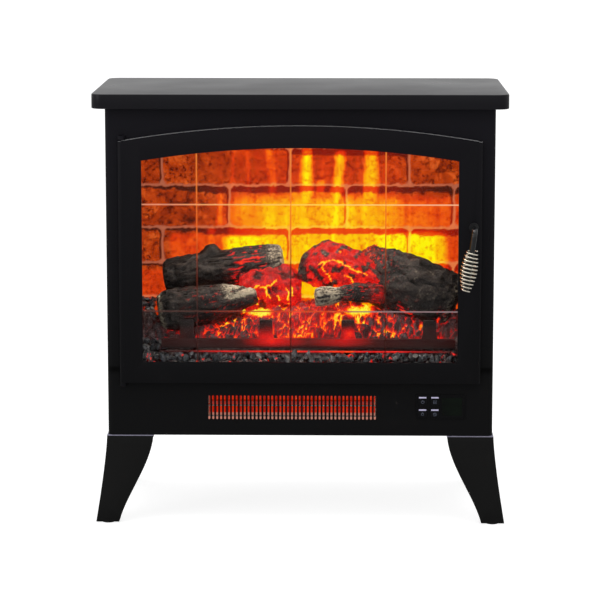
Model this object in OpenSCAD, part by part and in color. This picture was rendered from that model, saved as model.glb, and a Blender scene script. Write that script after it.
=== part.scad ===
// Electric stove heater: a steel cabinet on four flared legs, with an arched glass door,
// a log and ember bed in front of a brick flame screen, and a fan heater below the door.
// X runs across the front, Y runs from front to back and Z runs up from the floor.

/* [Overall] */
// Height from the floor to the top of the slab
overall_h = 645; // [620:1:670]
// Width of the top slab
slab_w = 610; // [600:1:630]
// Depth of the top slab
slab_d = 290; // [285:1:300]
// Thickness of the top slab
slab_t = 21.5; // [18:0.5:26]
// Radius of the slab's corners, seen from above
slab_corner_r = 18; // [10:1:30]
// How far the slab stands out in front of the cabinet
slab_overhang = 20; // [15:1:24]

/* [Cabinet] */
// Width of the cabinet
body_w = 573; // [568:1:580]
// Depth of the cabinet
body_d = 262; // [258:1:264]
// Height of the cabinet's underside above the floor
body_z = 134; // [128:1:140]
// Thickness of the cabinet's steel sheet
sheet = 2; // [1.5:0.1:2]
// Radius of the cabinet's upright front corners
body_corner_r = 8; // [5:1:10]

/* [Door] */
// Width of the door
door_w = 534; // [530:1:536]
// Height of the door's lower edge above the floor
door_z = 215.5; // [213:0.5:217]
// Height of the door's upper corners
door_corner_z = 575; // [572:1:577]
// Height of the door's arch at its middle
door_apex_z = 598.5; // [596:0.5:600]
// Width of the glass that shows
window_w = 465; // [458:1:466]
// Height of the window's lower edge
window_z = 247; // [246:1:249]
// Height of the window's upper corners
window_corner_z = 547; // [545:1:549]
// Height of the window's arch at its middle
window_apex_z = 566; // [564:1:567]
// Distance of the door's face in front of the cabinet
door_proud = 12; // [11.5:0.1:12.5]

/* [Handle] */
// Place of the handle's stud across the door
handle_x = 255; // [253:0.5:256]
// Height of the handle's stud
handle_z = 449.5; // [400:0.5:480]
// Lean of the hanging handle
handle_lean = 8.3; // [0:0.1:12]
// Distance of the grip's axis in front of the cabinet
grip_out = 48; // [44:1:50]
// Number of turns of the spring grip
grip_turns = 11; // [9:1:12]
// Thickness of the spring grip's wire
grip_wire = 2.2; // [2:0.1:3.2]

/* [Legs] */
// Sideways flare of a leg at the floor
leg_flare_x = 17.3; // [14:0.1:18]
// Flare of a leg to the front or back
leg_flare_y = 5; // [2:0.1:6]
// Width of a leg at its top
leg_top_w = 67.6; // [60:0.1:70]
// Width of a leg near the floor
leg_foot_w = 15.7; // [14:0.1:20]

/* [Heater outlet] */
// Number of outlet slots
slot_count = 43; // [30:1:43]
// Width of one outlet slot
slot_w = 2.9; // [2.4:0.1:3.2]
// Distance from one slot to the next
slot_pitch = 5.87; // [5.6:0.01:5.9]
// Height of the slots' lower ends
slot_low = 158; // [156:0.5:160]
// Height of the slots' upper ends
slot_high = 194.5; // [192:0.5:196]
// Place of the first slot's middle
slot_x = -135.2; // [-136:0.1:-134]

/* [Controls] */
// Travel of a push button
button_travel = 1.2; // [0.8:0.1:1.3]

/* [Hidden] */

$fn = 48;
ARC_FN = 720;

// Foremost and rearmost reach from the cabinet's face, which centre the object on its origin
grip_mid_r = 11.4;
front_reach = grip_out + grip_mid_r + grip_wire / 2;
rear_reach = slab_d - slab_overhang;
face_y = (front_reach - rear_reach) / 2;
slab_z = overall_h - slab_t;
plate_z = slab_z - sheet;
panel_h = plate_z - body_z;
floor_z = body_z + sheet;

// Cabinet sheets
return_d = 18;
louvre_z = [for (i = [0:5]) 520 + i * 14];
screw_x = body_w / 2 - 9;
screw_z = [160, 380, 600];
gland_x = 210;
gland_z = 165;
gland_r = 7;

// Door section, in distances behind the cabinet's face
door_front = -door_proud;
door_back = -1.5;
door_t = door_back - door_front;
door_edge_r = door_t / 2;
hinge_x = -door_w / 2 + door_edge_r;
hinge_y = (door_front + door_back) / 2;
hinge_pin_r = 2;
glass_front = -7.8;
glass_t = 4;
glass_lap = 7;
grid_x = [-152, -14, 125.6];
grid_z = [323, 482];
groove_w = 2.6;
groove_d = 0.6;
clip_x = window_w / 2 + 3.5;

// Door hinge and handle
hinge_z = [[door_z - 5.3, door_z - 0.3], [door_corner_z + 3, door_corner_z + 8]];
pin_in = 14;
stud_r = 4;
keeper_r = 8;
keeper_y = [-4.4, -2.2];
bend_r = 9;
grip_span = [-27.5, -90.5];
grip_top_r = 7.1;
grip_low_r = 5.4;

// Firebox
fire_half = 250;
fire_z = [224, 592];
fire_back = 149;
liner_t = 1.5;
brick_pitch = 189;
brick_joint = 6;
course_z = [263, 318, 371, 426, 491, 553];
grate_y = [28, 36];
grate_z = [260.5, 274.5];
grate_x = [-208, 231];
post_x = [-169.7, -51.5, 71, 192.7];
bed_profile = [[5, 236], [40, 241], [90, 247], [fire_back - 3.2, 262]];
bed_z0 = fire_z[0] + liner_t;

// Heater, fan and flame drive
tube_x = [-146, 122];
tube_r = 5;
tube_y = 30;
tube_z = [167, 187];
blower_at = [-12, 150, 180];
wheel_r = 22;
wheel_l = 180;
shaft_r = 2.5;
running = 0.05;
spindle_at = [0, 180, 300];
spindle_l = 400;
petal_r = 16;
heater_y = [3, 74];
heater_z = [148, 208];

// Control panel
bezel_x = [172.4, 245];
bezel_z = [160.4, 196.7];
bezel_proud = 1.5;
button_w = 12.6;
button_h = 8.4;
button_x = [182.2, 200.4];
button_z = [186, 167.2];
light_rise = 6.4;
light_w = 11;
light_h = 2.2;
display_x = [210.5, 241];
display_z = [165, 192];
button_gap = 0.2;

// Legs
spacer_t = 1.2;
leg_h = body_z - spacer_t;
pad_h = 2;
leg_wall = 4;
leg_bolt_at = [[20, 44], [44, 20]];
bolt_r = 3;

// ---------- shared shapes ----------

// Everything that is placed from the cabinet's front face
module at_face() {
    translate([0, face_y, 0]) children();
}

// An upright plate with the outline given in x and z, from depth y over thickness t
module upright(y, t) {
    translate([0, y + t, 0]) rotate([90, 0, 0]) linear_extrude(t) children();
}

// A box between two corners
module block(low, high) {
    translate(low) cube(high - low);
}

// A rod along X
module rod_x(x, y, z, r) {
    translate([x[0], y, z]) rotate([0, 90, 0]) cylinder(h = x[1] - x[0], r = r);
}

// A rod along Y
module rod_y(x, y, z, r) {
    translate([x, y[0], z]) rotate([-90, 0, 0]) cylinder(h = y[1] - y[0], r = r);
}

// A rod along Z
module rod_z(x, y, z, r) {
    translate([x, y, z[0]]) cylinder(h = z[1] - z[0], r = r);
}

function arch_r(w, corner, apex) = (pow(apex - corner, 2) + w * w / 4) / (2 * (apex - corner));

// A rectangle with an arched top; grow moves every edge outwards
module arch(w, low, corner, apex, grow = 0) {
    r = arch_r(w, corner, apex);
    intersection() {
        translate([-w / 2 - grow, low - grow]) square([w + 2 * grow, apex - low + 2 * grow]);
        translate([0, apex - r]) circle(r = r + grow, $fn = ARC_FN);
    }
}

module window_arch(grow = 0) {
    arch(window_w, window_z, window_corner_z, window_apex_z, grow);
}

// A plan outline with round corners, standing on y = 0
module rounded_plan(w, d, r) {
    translate([-w / 2 + r, 0]) square([w - 2 * r, d]);
    translate([-w / 2, r]) square([w, d - 2 * r]);
    for (x = [-w / 2 + r, w / 2 - r], y = [r, d - r])
        translate([x, y]) circle(r = r);
}

// A slot with round ends, standing upright around x
module slot_outline(x, z, w) {
    translate([x - w / 2, z[0] + w / 2]) square([w, z[1] - z[0] - w]);
    for (end = [z[0] + w / 2, z[1] - w / 2])
        translate([x, end]) circle(r = w / 2, $fn = 16);
}

// ---------- slab and cabinet ----------

module top_slab() {
    color("dimgray") at_face() translate([0, -slab_overhang, slab_z])
        linear_extrude(slab_t) rounded_plan(slab_w, slab_d, slab_corner_r);
}

module cabinet_top_plate() {
    color("#232226") at_face() translate([0, 0, plate_z])
        linear_extrude(sheet) rounded_plan(body_w, body_d, body_corner_r);
}

// A plan outline whose two front corners are round; the back corners stay square
module folded_plan(w, d, r) {
    translate([-w / 2 + r, 0]) square([w - 2 * r, d]);
    translate([-w / 2, r]) square([w, d - r]);
    for (side = [-1, 1])
        translate([side * (w / 2 - r), r]) circle(r = r);
}

module front_panel_plan() {
    difference() {
        folded_plan(body_w, return_d, body_corner_r);
        translate([0, sheet]) folded_plan(body_w - 2 * sheet, return_d, body_corner_r - sheet);
    }
}

module front_panel() {
    color("#1d1c21") at_face() difference() {
        translate([0, 0, body_z]) linear_extrude(panel_h) front_panel_plan();
        upright(-1, sheet + 2) window_arch(4);
        upright(-1, sheet + 2) for (i = [0:slot_count - 1])
            slot_outline(slot_x + i * slot_pitch, [slot_low, slot_high], slot_w);
        block([bezel_x[0] + 1.4, -1, bezel_z[0] + 1.4], [bezel_x[1] - 1.4, sheet + 1, bezel_z[1] - 1.4]);
        rod_y(handle_x, [-1, sheet + 1], handle_z - 5, 2.6);
    }
}

module side_panel(side) {
    x = side * (body_w / 2 - sheet / 2);
    color("#1d1c21") at_face() difference() {
        union() {
            translate([x - sheet / 2, return_d + 0.2, body_z])
                cube([sheet, body_d - sheet - 0.4 - return_d, panel_h]);
            translate([side > 0 ? x - 14 : x, body_d - 2 * sheet - 0.2, body_z])
                cube([14, sheet, panel_h]);
        }
        for (z = louvre_z)
            block([x - sheet, 150, z], [x + sheet, 230, z + 4]);
        for (z = screw_z)
            rod_y(side * screw_x, [body_d - 10, body_d], z, 1.7);
    }
}

module side_panel_left() {
    side_panel(-1);
}

module side_panel_right() {
    side_panel(1);
}

module rear_panel() {
    color("#1d1c21") at_face() difference() {
        upright(body_d - sheet, sheet)
            translate([-body_w / 2 + 0.2, floor_z + 0.2])
                square([body_w - 0.4, plate_z - floor_z - 0.4]);
        upright(body_d - sheet - 1, sheet + 2) for (i = [0:24])
            slot_outline(-160 + i * 12, [150, 205], 5);
        for (side = [-1, 1], z = screw_z)
            rod_y(side * screw_x, [body_d - 10, body_d + 1], z, 1.7);
        rod_y(gland_x, [body_d - 10, body_d + 1], gland_z, gland_r + 0.1);
    }
}

module rear_panel_screws() {
    color("silver") at_face() for (side = [-1, 1], z = screw_z) {
        rod_y(side * screw_x, [body_d - 8, body_d], z, 1.6);
        rod_y(side * screw_x, [body_d, body_d + 2], z, 3.6);
    }
}

module cord_gland() {
    color("#141414") at_face() difference() {
        union() {
            rod_y(gland_x, [body_d - 8, body_d + 6], gland_z, gland_r);
            rod_y(gland_x, [body_d, body_d + 6], gland_z, gland_r + 3);
            rod_y(gland_x, [body_d - 8, body_d - sheet], gland_z, gland_r + 2);
        }
        rod_y(gland_x, [body_d - 9, body_d + 7], gland_z, 4.2);
    }
}

module base_pan() {
    inner = body_w / 2 - sheet - 0.2;
    rim = 14;
    color("#2a2a2c") at_face() difference() {
        translate([0, sheet + 0.2, body_z]) linear_extrude(rim)
            folded_plan(2 * inner, body_d - 3 * sheet - 0.6, body_corner_r - sheet);
        block([-inner + sheet, 2 * sheet + 0.2, floor_z],
            [inner - sheet, body_d - 3 * sheet - 0.4, body_z + rim + 1]);
        for (sx = [-1, 1], back = [0, 1], at = leg_bolt_at)
            rod_z(leg_bolt_x(sx, at), leg_bolt_y(back, at), [body_z - 1, floor_z + 1], bolt_r + 0.2);
    }
}

// ---------- legs ----------

function leg_bolt_x(sx, at) = sx * (body_w / 2 - at[0]);
function leg_bolt_y(back, at) = back == 1 ? body_d - at[1] : at[1];

// Outline of a leg from its outer corner: flare outwards, and an inner edge in a slow S
function leg_outer(u, flare) = -1.5 - flare * pow(u, 1.3);
function leg_inner(u) = leg_top_w
    - (leg_top_w - leg_foot_w) * (0.2 * u + 1.9 * pow(u, 2) - 1.1 * pow(u, 3));
LEG_STEPS = 14;
function leg_outline(flare) = concat(
    [for (i = [0:LEG_STEPS]) [leg_outer(i / LEG_STEPS, flare), leg_h - (leg_h - pad_h) * i / LEG_STEPS]],
    [for (i = [LEG_STEPS:-1:0]) [leg_inner(i / LEG_STEPS), leg_h - (leg_h - pad_h) * i / LEG_STEPS]]
);

// The full shape of a leg, with its outer corner at the origin and its inside towards +X and +Y
module leg_blank(shift = 0) {
    intersection() {
        translate([shift, 80 + shift, 0]) rotate([90, 0, 0])
            linear_extrude(100) polygon(leg_outline(leg_flare_x));
        translate([80 + shift, shift, 0]) rotate([90, 0, -90])
            linear_extrude(100) mirror([1, 0]) polygon(leg_outline(leg_flare_y));
    }
}

module leg_shape() {
    difference() {
        leg_blank();
        difference() {
            leg_blank(leg_wall);
            translate([-40, -40, leg_h - leg_wall]) cube([140, 140, leg_wall]);
            translate([-40, -40, 0]) cube([140, 140, pad_h + leg_wall]);
        }
        for (at = leg_bolt_at)
            translate([at[0], at[1], leg_h - 10]) cylinder(h = 12, r = bolt_r + 0.2);
    }
}

module leg(sx, back) {
    color("#1b1b1b") at_face() translate([sx * body_w / 2, back * body_d, 0])
        mirror([sx > 0 ? 1 : 0, 0, 0]) mirror([0, back, 0]) leg_shape();
}

module leg_front_left() {
    leg(-1, 0);
}

module leg_front_right() {
    leg(1, 0);
}

module leg_rear_left() {
    leg(-1, 1);
}

module leg_rear_right() {
    leg(1, 1);
}

// Thin plates between the legs and the cabinet
module leg_spacers() {
    color("#8d8a9c") at_face() for (sx = [0, 1], back = [0, 1])
        translate([(2 * sx - 1) * body_w / 2, back * body_d, 0])
            mirror([sx, 0, 0]) mirror([0, back, 0]) difference() {
                translate([-1.5, -1.5, leg_h]) cube([leg_top_w + 1.5, leg_top_w + 1.5, spacer_t]);
                for (at = leg_bolt_at)
                    translate([at[0], at[1], leg_h - 1]) cylinder(h = spacer_t + 2, r = bolt_r + 0.2);
            }
}

module foot_pads() {
    color("#0e0e0e") at_face() for (sx = [-1, 1], back = [0, 1])
        translate([sx * (body_w / 2 + 1), back == 1 ? body_d - 5 : 5, 0])
            cylinder(h = pad_h, r = 9.5);
}

module leg_bolts() {
    color("silver") at_face() for (sx = [-1, 1], back = [0, 1], at = leg_bolt_at)
        translate([leg_bolt_x(sx, at), leg_bolt_y(back, at), 0]) {
            translate([0, 0, leg_h - leg_wall - 4]) cylinder(h = 4, r = 5.2, $fn = 6);
            translate([0, 0, leg_h - leg_wall]) cylinder(h = 14, r = bolt_r);
            translate([0, 0, floor_z]) cylinder(h = 5, r = 5.2, $fn = 6);
        }
}

// ---------- firebox ----------

module firebox_liner() {
    in = fire_half - liner_t;
    color("#161616") at_face() difference() {
        block([-fire_half, sheet + 0.2, fire_z[0]], [fire_half, fire_back, fire_z[1]]);
        block([-in, 0, fire_z[0] + liner_t], [in, fire_back + 1, fire_z[1] - liner_t]);
    }
}

module brick_course(low, high, shift) {
    half = fire_half - liner_t - 0.5;
    for (i = [-2:2]) {
        left = max(-half, i * brick_pitch + shift + brick_joint / 2);
        right = min(half, (i + 1) * brick_pitch + shift - brick_joint / 2);
        if (right - left > 8)
            block([left, fire_back - 2.5, low + brick_joint / 2],
                [right, fire_back + 1, high - brick_joint / 2]);
    }
}

module brick_screen() {
    half = fire_half - liner_t - 0.5;
    color("#d0480f") at_face() union() {
        block([-half, fire_back, fire_z[0] + 2], [half, fire_back + 3, fire_z[1] - 2]);
        for (i = [0:len(course_z) - 2])
            brick_course(course_z[i], course_z[i + 1], i % 2 == 0 ? -24 : 76);
    }
}

module ember_bed() {
    half = fire_half - liner_t - 1;
    skin = [for (p = bed_profile) [p[0], p[1] - 3]];
    color("#7a2a12") at_face() translate([half, 0, 0]) rotate([90, 0, -90])
        linear_extrude(2 * half) mirror([1, 0]) difference() {
            polygon(concat([[fire_back - 3.2, bed_z0], [5, bed_z0]], bed_profile));
            polygon(concat([[fire_back - 6.2, bed_z0 - 1], [8, bed_z0 - 1]],
                [[8, skin[0][1]], skin[1], skin[2], [fire_back - 6.2, skin[3][1]]]));
        }
}

module ember_light_board() {
    color("#155c33") at_face() {
        block([-210, 50, bed_z0 + 1.2], [210, 84, bed_z0 + 2.8]);
        for (i = [0:13])
            block([-195 + i * 30 - 2.5, 64, bed_z0 + 2.8], [-195 + i * 30 + 2.5, 69, bed_z0 + 4.4]);
    }
}

module fire_grate() {
    color("#2a1512") at_face() {
        block([grate_x[0], grate_y[0], grate_z[0]], [grate_x[1], grate_y[1], grate_z[1]]);
        block([grate_x[0] + 20, 104, grate_z[0]], [grate_x[1] - 20, 110, grate_z[0] + 7]);
        for (x = post_x) {
            upright(grate_y[0] + 1, grate_y[1] - grate_y[0] - 2)
                polygon([[x - 14, grate_z[0] + 8], [x + 14, grate_z[0] + 8], [x + 11, grate_z[1] + 4],
                    [x + 9.8, grate_z[1] + 10], [x + 9.8, 301], [x + 8.5, 303], [x - 8.5, 303],
                    [x - 9.8, 301], [x - 9.8, grate_z[1] + 10], [x - 11, grate_z[1] + 4]]);
            block([x - 4, grate_y[0] + 2, grate_z[0]], [x + 4, 110, grate_z[0] + 7]);
            block([x - 5, grate_y[0] + 1, 242.5], [x + 5, grate_y[1] - 1, grate_z[0] + 2]);
        }
    }
}

// A log along X: rings of points whose radius wanders, closed by flat sawn ends
LOG_SIDES = 16;
LOG_RINGS = 12;
function log_wander(a, u, seed) =
    1 + 0.06 * sin(3 * a + 170 * u + 50 * seed) + 0.05 * sin(5 * a - 260 * u + 90 * seed)
    - 0.16 * pow(abs(2 * u - 1), 3);
function log_points(l, ry, rz, seed) = [
    for (i = [0:LOG_RINGS])
    for (j = [0:LOG_SIDES - 1])
        let (u = i / LOG_RINGS, a = 360 * j / LOG_SIDES, k = 0.9 * log_wander(a, u, seed))
            [l * (u - 0.5), ry * k * cos(a), rz * k * sin(a)]
];
function log_faces() = concat(
    [[for (j = [0:LOG_SIDES - 1]) j]],
    [[for (j = [LOG_SIDES - 1:-1:0]) LOG_RINGS * LOG_SIDES + j]],
    [for (i = [0:LOG_RINGS - 1])
    for (j = [0:LOG_SIDES - 1])
        let (a = i * LOG_SIDES + j, b = i * LOG_SIDES + (j + 1) % LOG_SIDES)
            [a, a + LOG_SIDES, b + LOG_SIDES, b]]
);

module log_shape(low, high, y, ry, seed, lean = 0) {
    l = high[0] - low[0];
    rz = (high[1] - low[1]) / 2;
    at_face() translate([(low[0] + high[0]) / 2, y, (low[1] + high[1]) / 2]) rotate([0, lean, 0])
        polyhedron(log_points(l, ry, rz, seed), log_faces(), convexity = 4);
}

module log_rear_left() {
    color("#33302e") log_shape([-208, 341], [-28, 404], 120, 22, 1, -2);
}

module log_front_left() {
    color("#4a3c33") log_shape([-216, 276], [-94, 344], 70, 22, 2, 3);
}

module log_glowing_left() {
    color("#c22a0c") log_shape([-88, 290], [0, 374], 70, 22, 3);
}

module log_glowing_right() {
    color("#c22a0c") log_shape([4, 282], [130, 408], 127, 17, 4, 4);
}

module log_right() {
    color("#2b2725") log_shape([82, 272], [234, 404], 80, 26, 5, 8);
}

module stick_front() {
    color("#5a4030") log_shape([18, 322], [80, 350], 44, 8, 6, 12);
}

// Lumps of coal along the front of the bed and down its left side
module coal(at, r, turn) {
    translate([at[0], at[1], at[2] + r]) rotate([turn, 2 * turn, 3 * turn]) sphere(r = r, $fn = 7);
}

module loose_coals() {
    size = rands(6.4, 9, 64, 11);
    turn = rands(0, 90, 64, 12);
    color("#3a3f45") at_face() {
        for (i = [0:23])
            coal([-219 + i * 19, 15.5, 238.6], size[i], turn[i]);
        for (i = [0:3])
            coal([-237, 35 + i * 24, 245 + 4 * i], 1.1 * size[24 + i], turn[24 + i]);
        for (i = [0:2])
            coal([-237 + i * 8, 128, 262 + 21 * i], size[30 + i], turn[30 + i]);
    }
}

// ---------- flame drive ----------

module flame_light_board() {
    z = spindle_at[2];
    color("#155c33") at_face() {
        block([-200, 212, z - 14], [200, 213.6, z + 14]);
        for (i = [0:12])
            block([-180 + i * 30 - 2.5, 210.4, z - 2.5], [-180 + i * 30 + 2.5, 212, z + 2.5]);
        for (x = [-190, 190])
            block([x - 8, 213.6, z - 10], [x + 8, body_d - sheet, z + 10]);
    }
}

module flame_spindle() {
    color("silver") at_face() translate(spindle_at) rotate([0, 90, 0]) {
        translate([0, 0, -spindle_l / 2 - 14]) cylinder(h = spindle_l + 28, r = shaft_r);
        for (i = [0:15])
            translate([0, 0, -187.5 + i * 25]) rotate([0, 0, i * 37])
                for (fold = [0, 120, 240])
                    rotate([0, 0, fold]) translate([0, -0.4, -10]) cube([petal_r, 0.8, 20]);
    }
}

module spindle_plate(x) {
    difference() {
        block([x - 2, spindle_at[1] - 14, spindle_at[2] - 14], [x + 2, body_d - sheet, spindle_at[2] + 14]);
        rod_x([x - 3, x + 3], spindle_at[1], spindle_at[2], shaft_r + running);
    }
}

module spindle_bush() {
    color("gainsboro") at_face() spindle_plate(-206);
}

module flame_motor() {
    color("silver") at_face() {
        spindle_plate(206);
        difference() {
            rod_x([208, 228], spindle_at[1], spindle_at[2], 20);
            rod_x([207, 216], spindle_at[1], spindle_at[2], shaft_r + running);
        }
    }
}

// ---------- heater and fan ----------

module heater_housing() {
    x = [tube_x[0] - 6, tube_x[1] + 6];
    color("#8f8f8f") at_face() difference() {
        block([x[0], heater_y[0], heater_z[0]], [x[1], heater_y[1], heater_z[1]]);
        block([x[0] + 1.5, heater_y[0] - 1, heater_z[0] + 1.5],
            [x[1] - 1.5, heater_y[1] - 1.5, heater_z[1] - 1.5]);
        block([-104, heater_y[1] - 3, 160], [80, heater_y[1] + 1, 198]);
    }
}

// Two polished troughs behind the tubes
module heat_reflector() {
    x = [tube_x[0] + 12, tube_x[1] - 12];
    color("gainsboro") at_face() for (z = tube_z) difference() {
        rod_x(x, tube_y + 4, z, 9.8);
        rod_x([x[0] - 1, x[1] + 1], tube_y + 4, z, 8.8);
        block([x[0] - 1, 0, z - 11], [x[1] + 1, tube_y + 2, z + 11]);
    }
}

module quartz_tubes() {
    color("#ff5a2a") at_face() for (z = tube_z)
        rod_x([tube_x[0] + 8, tube_x[1] - 8], tube_y, z, tube_r);
}

module tube_end_caps() {
    color("ivory") at_face() for (z = tube_z, x = [tube_x[0], tube_x[1] - 10]) difference() {
        block([x, tube_y - 9, z - 9], [x + 10, tube_y + 9, z + 9]);
        rod_x(x < 0 ? [x + 8, x + 11] : [x - 1, x + 2], tube_y, z, tube_r);
    }
}

module guard_wires() {
    color("silver") at_face() {
        for (z = [161, 177, 193])
            rod_x([-150, 126], 12, z, 1.1);
        for (x = [-149, 125])
            rod_z(x, 14.2, [158, 196], 1.1);
    }
}

module blower_housing() {
    x = blower_at[0];
    y = blower_at[1];
    z = blower_at[2];
    half = wheel_l / 2 + 4;
    color("#b0b0b0") at_face() {
        difference() {
            rod_x([x - half, x + half], y, z, 30);
            rod_x([x - half + 2, x + half - 2], y, z, 28.5);
            block([x - half + 2, y - 40, z - 16], [x + half - 2, y, z + 16]);
            block([x - half + 2, y, z - 12], [x + half - 2, y + 40, z + 12]);
            rod_x([x - half - 1, x + half + 1], y, z, shaft_r + running);
        }
        block([x - half, y - 74, z + 16.5], [x + half, y - 24.5, z + 18]);
        block([x - half, y - 74, z - 18], [x + half, y - 24.5, z - 16.5]);
        for (sx = [x - half, x + half - 2])
            block([sx, y - 18, floor_z], [sx + 2, y + 18, z - 24]);
    }
}

module blower_wheel() {
    l = wheel_l;
    color("#dadada") at_face() translate(blower_at) rotate([0, 90, 0]) {
        translate([0, 0, -l / 2 - 6]) cylinder(h = l + 24, r = shaft_r);
        for (z = [-l / 2 + 2, -l / 4 + 1, 0, l / 4 - 1, l / 2 - 2])
            translate([0, 0, z - 1]) cylinder(h = 2, r = wheel_r);
        for (a = [0:30:330])
            rotate([0, 0, a]) translate([wheel_r - 8, 0, -l / 2 + 2]) rotate([0, 0, 35])
                translate([0, -0.5, 0]) cube([8, 1, l - 4]);
    }
}

module blower_motor() {
    x = blower_at[0] + wheel_l / 2 + 6;
    color("silver") at_face() difference() {
        union() {
            rod_x([x, x + 30], blower_at[1], blower_at[2], 18);
            block([x + 2, blower_at[1] - 22, floor_z], [x + 28, blower_at[1] + 22, floor_z + 6]);
            block([x + 8, blower_at[1] - 4, floor_z + 6], [x + 22, blower_at[1] + 4, blower_at[2] - 16]);
        }
        rod_x([x - 1, x + 16], blower_at[1], blower_at[2], shaft_r + running);
    }
}

module thermal_cutout() {
    color("#d8d4c8") at_face() {
        rod_z(100, 50, [heater_z[1], heater_z[1] + 6], 8);
        block([90, 45, heater_z[1]], [110, 55, heater_z[1] + 1.2]);
    }
}

module power_board() {
    color("#1c5f3a") at_face() {
        block([150, 70, floor_z + 8], [262, 150, floor_z + 9.6]);
        for (x = [156, 256], y = [76, 144])
            rod_z(x, y, [floor_z, floor_z + 8], 3);
        for (x = [166, 192, 218])
            block([x, 84, floor_z + 9.6], [x + 20, 100, floor_z + 25]);
        rod_z(246, 96, [floor_z + 9.6, floor_z + 34], 9);
        block([170, 124, floor_z + 9.6], [230, 138, floor_z + 22]);
    }
}

// ---------- controls ----------

module control_bezel() {
    color("#101012") at_face() difference() {
        union() {
            block([bezel_x[0], -bezel_proud, bezel_z[0]], [bezel_x[1], 0, bezel_z[1]]);
            block([bezel_x[0] + 1.6, 0, bezel_z[0] + 1.6], [bezel_x[1] - 1.6, 5, bezel_z[1] - 1.6]);
        }
        for (x = button_x, z = button_z) {
            block([x - button_w / 2 - button_gap, -3, z - button_h / 2 - button_gap],
                [x + button_w / 2 + button_gap, 6, z + button_h / 2 + button_gap]);
            block([x - light_w / 2, -3, z + light_rise - light_h / 2],
                [x + light_w / 2, 6, z + light_rise + light_h / 2]);
        }
        block([display_x[0], -3, display_z[0]], [display_x[1], 0, display_z[1]]);
        block([display_x[0] + 2, -3, display_z[0] + 2], [display_x[1] - 2, 6, display_z[1] - 2]);
    }
}

module display_lens() {
    color("#0c120e") at_face()
        block([display_x[0] + 0.1, -bezel_proud + 0.2, display_z[0] + 0.1],
            [display_x[1] - 0.1, 0, display_z[1] - 0.1]);
}

module indicator_lights() {
    color("lavender") at_face() for (x = button_x, z = button_z)
        block([x - light_w / 2 + 0.1, -bezel_proud - 0.1, z + light_rise - light_h / 2 + 0.1],
            [x + light_w / 2 - 0.1, 5, z + light_rise + light_h / 2 - 0.1]);
}

module control_board() {
    color("#155c33") at_face() {
        block([bezel_x[0] + 2, 7.4, bezel_z[0] + 2], [bezel_x[1] - 2, 9, bezel_z[1] - 2]);
        for (x = button_x, z = button_z) {
            block([x - 3, 6.2, z - 3], [x + 3, 7.4, z + 3]);
            rod_y(x, [5.4, 6.2], z, 1.6);
        }
        block([display_x[0] + 2.4, 5.2, display_z[0] + 2.4], [display_x[1] - 2.4, 7.4, display_z[1] - 2.4]);
    }
}

module push_button(column, row) {
    x = button_x[column];
    z = button_z[row];
    color("#17171a") at_face() {
        block([x - button_w / 2, -bezel_proud - 0.6, z - button_h / 2],
            [x + button_w / 2, 3, z + button_h / 2]);
        rod_y(x, [3, 5.3 - button_travel], z, 2.2);
    }
}

module button_power() {
    push_button(0, 0);
}

module button_heat() {
    push_button(1, 0);
}

module button_flame() {
    push_button(0, 1);
}

module button_timer() {
    push_button(1, 1);
}

// ---------- door ----------

module hinge_brackets() {
    color("#1b1b1d") at_face() {
        for (z = hinge_z) {
            rod_z(hinge_x, hinge_y, z, 5);
            block([hinge_x - 5, hinge_y, z[0]], [hinge_x + 5, 0, z[1]]);
        }
        rod_z(hinge_x, hinge_y, [hinge_z[0][1], door_z + pin_in], hinge_pin_r);
        rod_z(hinge_x, hinge_y, [door_corner_z - pin_in, hinge_z[1][0]], hinge_pin_r);
    }
}

module door_outline() {
    intersection() {
        arch(door_w, door_z, door_corner_z, door_apex_z);
        translate([hinge_x, 0]) square([-2 * hinge_x, overall_h]);
    }
}

module door_frame() {
    color("#1d1c21") at_face() difference() {
        union() {
            upright(door_front, door_t) door_outline();
            for (side = [-1, 1])
                rod_z(side * hinge_x, hinge_y, [door_z, door_corner_z], door_edge_r);
        }
        upright(door_front - 1, door_t + 2) window_arch();
        upright(glass_front, door_t) window_arch(glass_lap + 0.3);
        rod_z(hinge_x, hinge_y, [door_z - 1, door_z + pin_in + 1], hinge_pin_r + running);
        rod_z(hinge_x, hinge_y, [door_corner_z - pin_in - 1, door_corner_z + 3], hinge_pin_r + running);
        rod_y(handle_x, [door_front - 1, 0], handle_z, stud_r + running);
        rod_y(handle_x, [keeper_y[0] - 0.4, 0], handle_z, keeper_r + 0.6);
    }
}

module door_glass() {
    color([0.75, 0.75, 0.75, 0.35]) at_face() difference() {
        upright(glass_front, glass_t) window_arch(glass_lap);
        for (x = grid_x)
            block([x - groove_w / 2, glass_front - 1, 200], [x + groove_w / 2, glass_front + groove_d, 600]);
        for (z = grid_z)
            block([-300, glass_front - 1, z - groove_w / 2], [300, glass_front + groove_d, z + groove_w / 2]);
    }
}

module door_gasket() {
    color("#0c0c0c") at_face() upright(door_back, 1.1) difference() {
        window_arch(13);
        window_arch(8);
    }
}

// Steel clips that hold the glass in its rebate
module glass_clips() {
    y = glass_front + glass_t;
    color("silver") at_face() {
        for (x = [-180, 0, 180])
            block([x - 10, y, window_z - 6], [x + 10, y + 2, window_z - 1]);
        for (x = [-clip_x, clip_x], z = [300, 400, 500])
            block([x - 2.5, y, z - 10], [x + 2.5, y + 2, z + 10]);
    }
}

// ---------- handle ----------

// Everything that turns with the handle, from its stud's axis
module on_stud() {
    at_face() translate([handle_x, 0, handle_z]) rotate([0, handle_lean, 0]) children();
}

module handle_washer() {
    color("#1d1c21") at_face() difference() {
        rod_y(handle_x, [door_front - 2, door_front], handle_z, 7);
        rod_y(handle_x, [door_front - 3, door_front + 1], handle_z, stud_r + running);
    }
}

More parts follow.
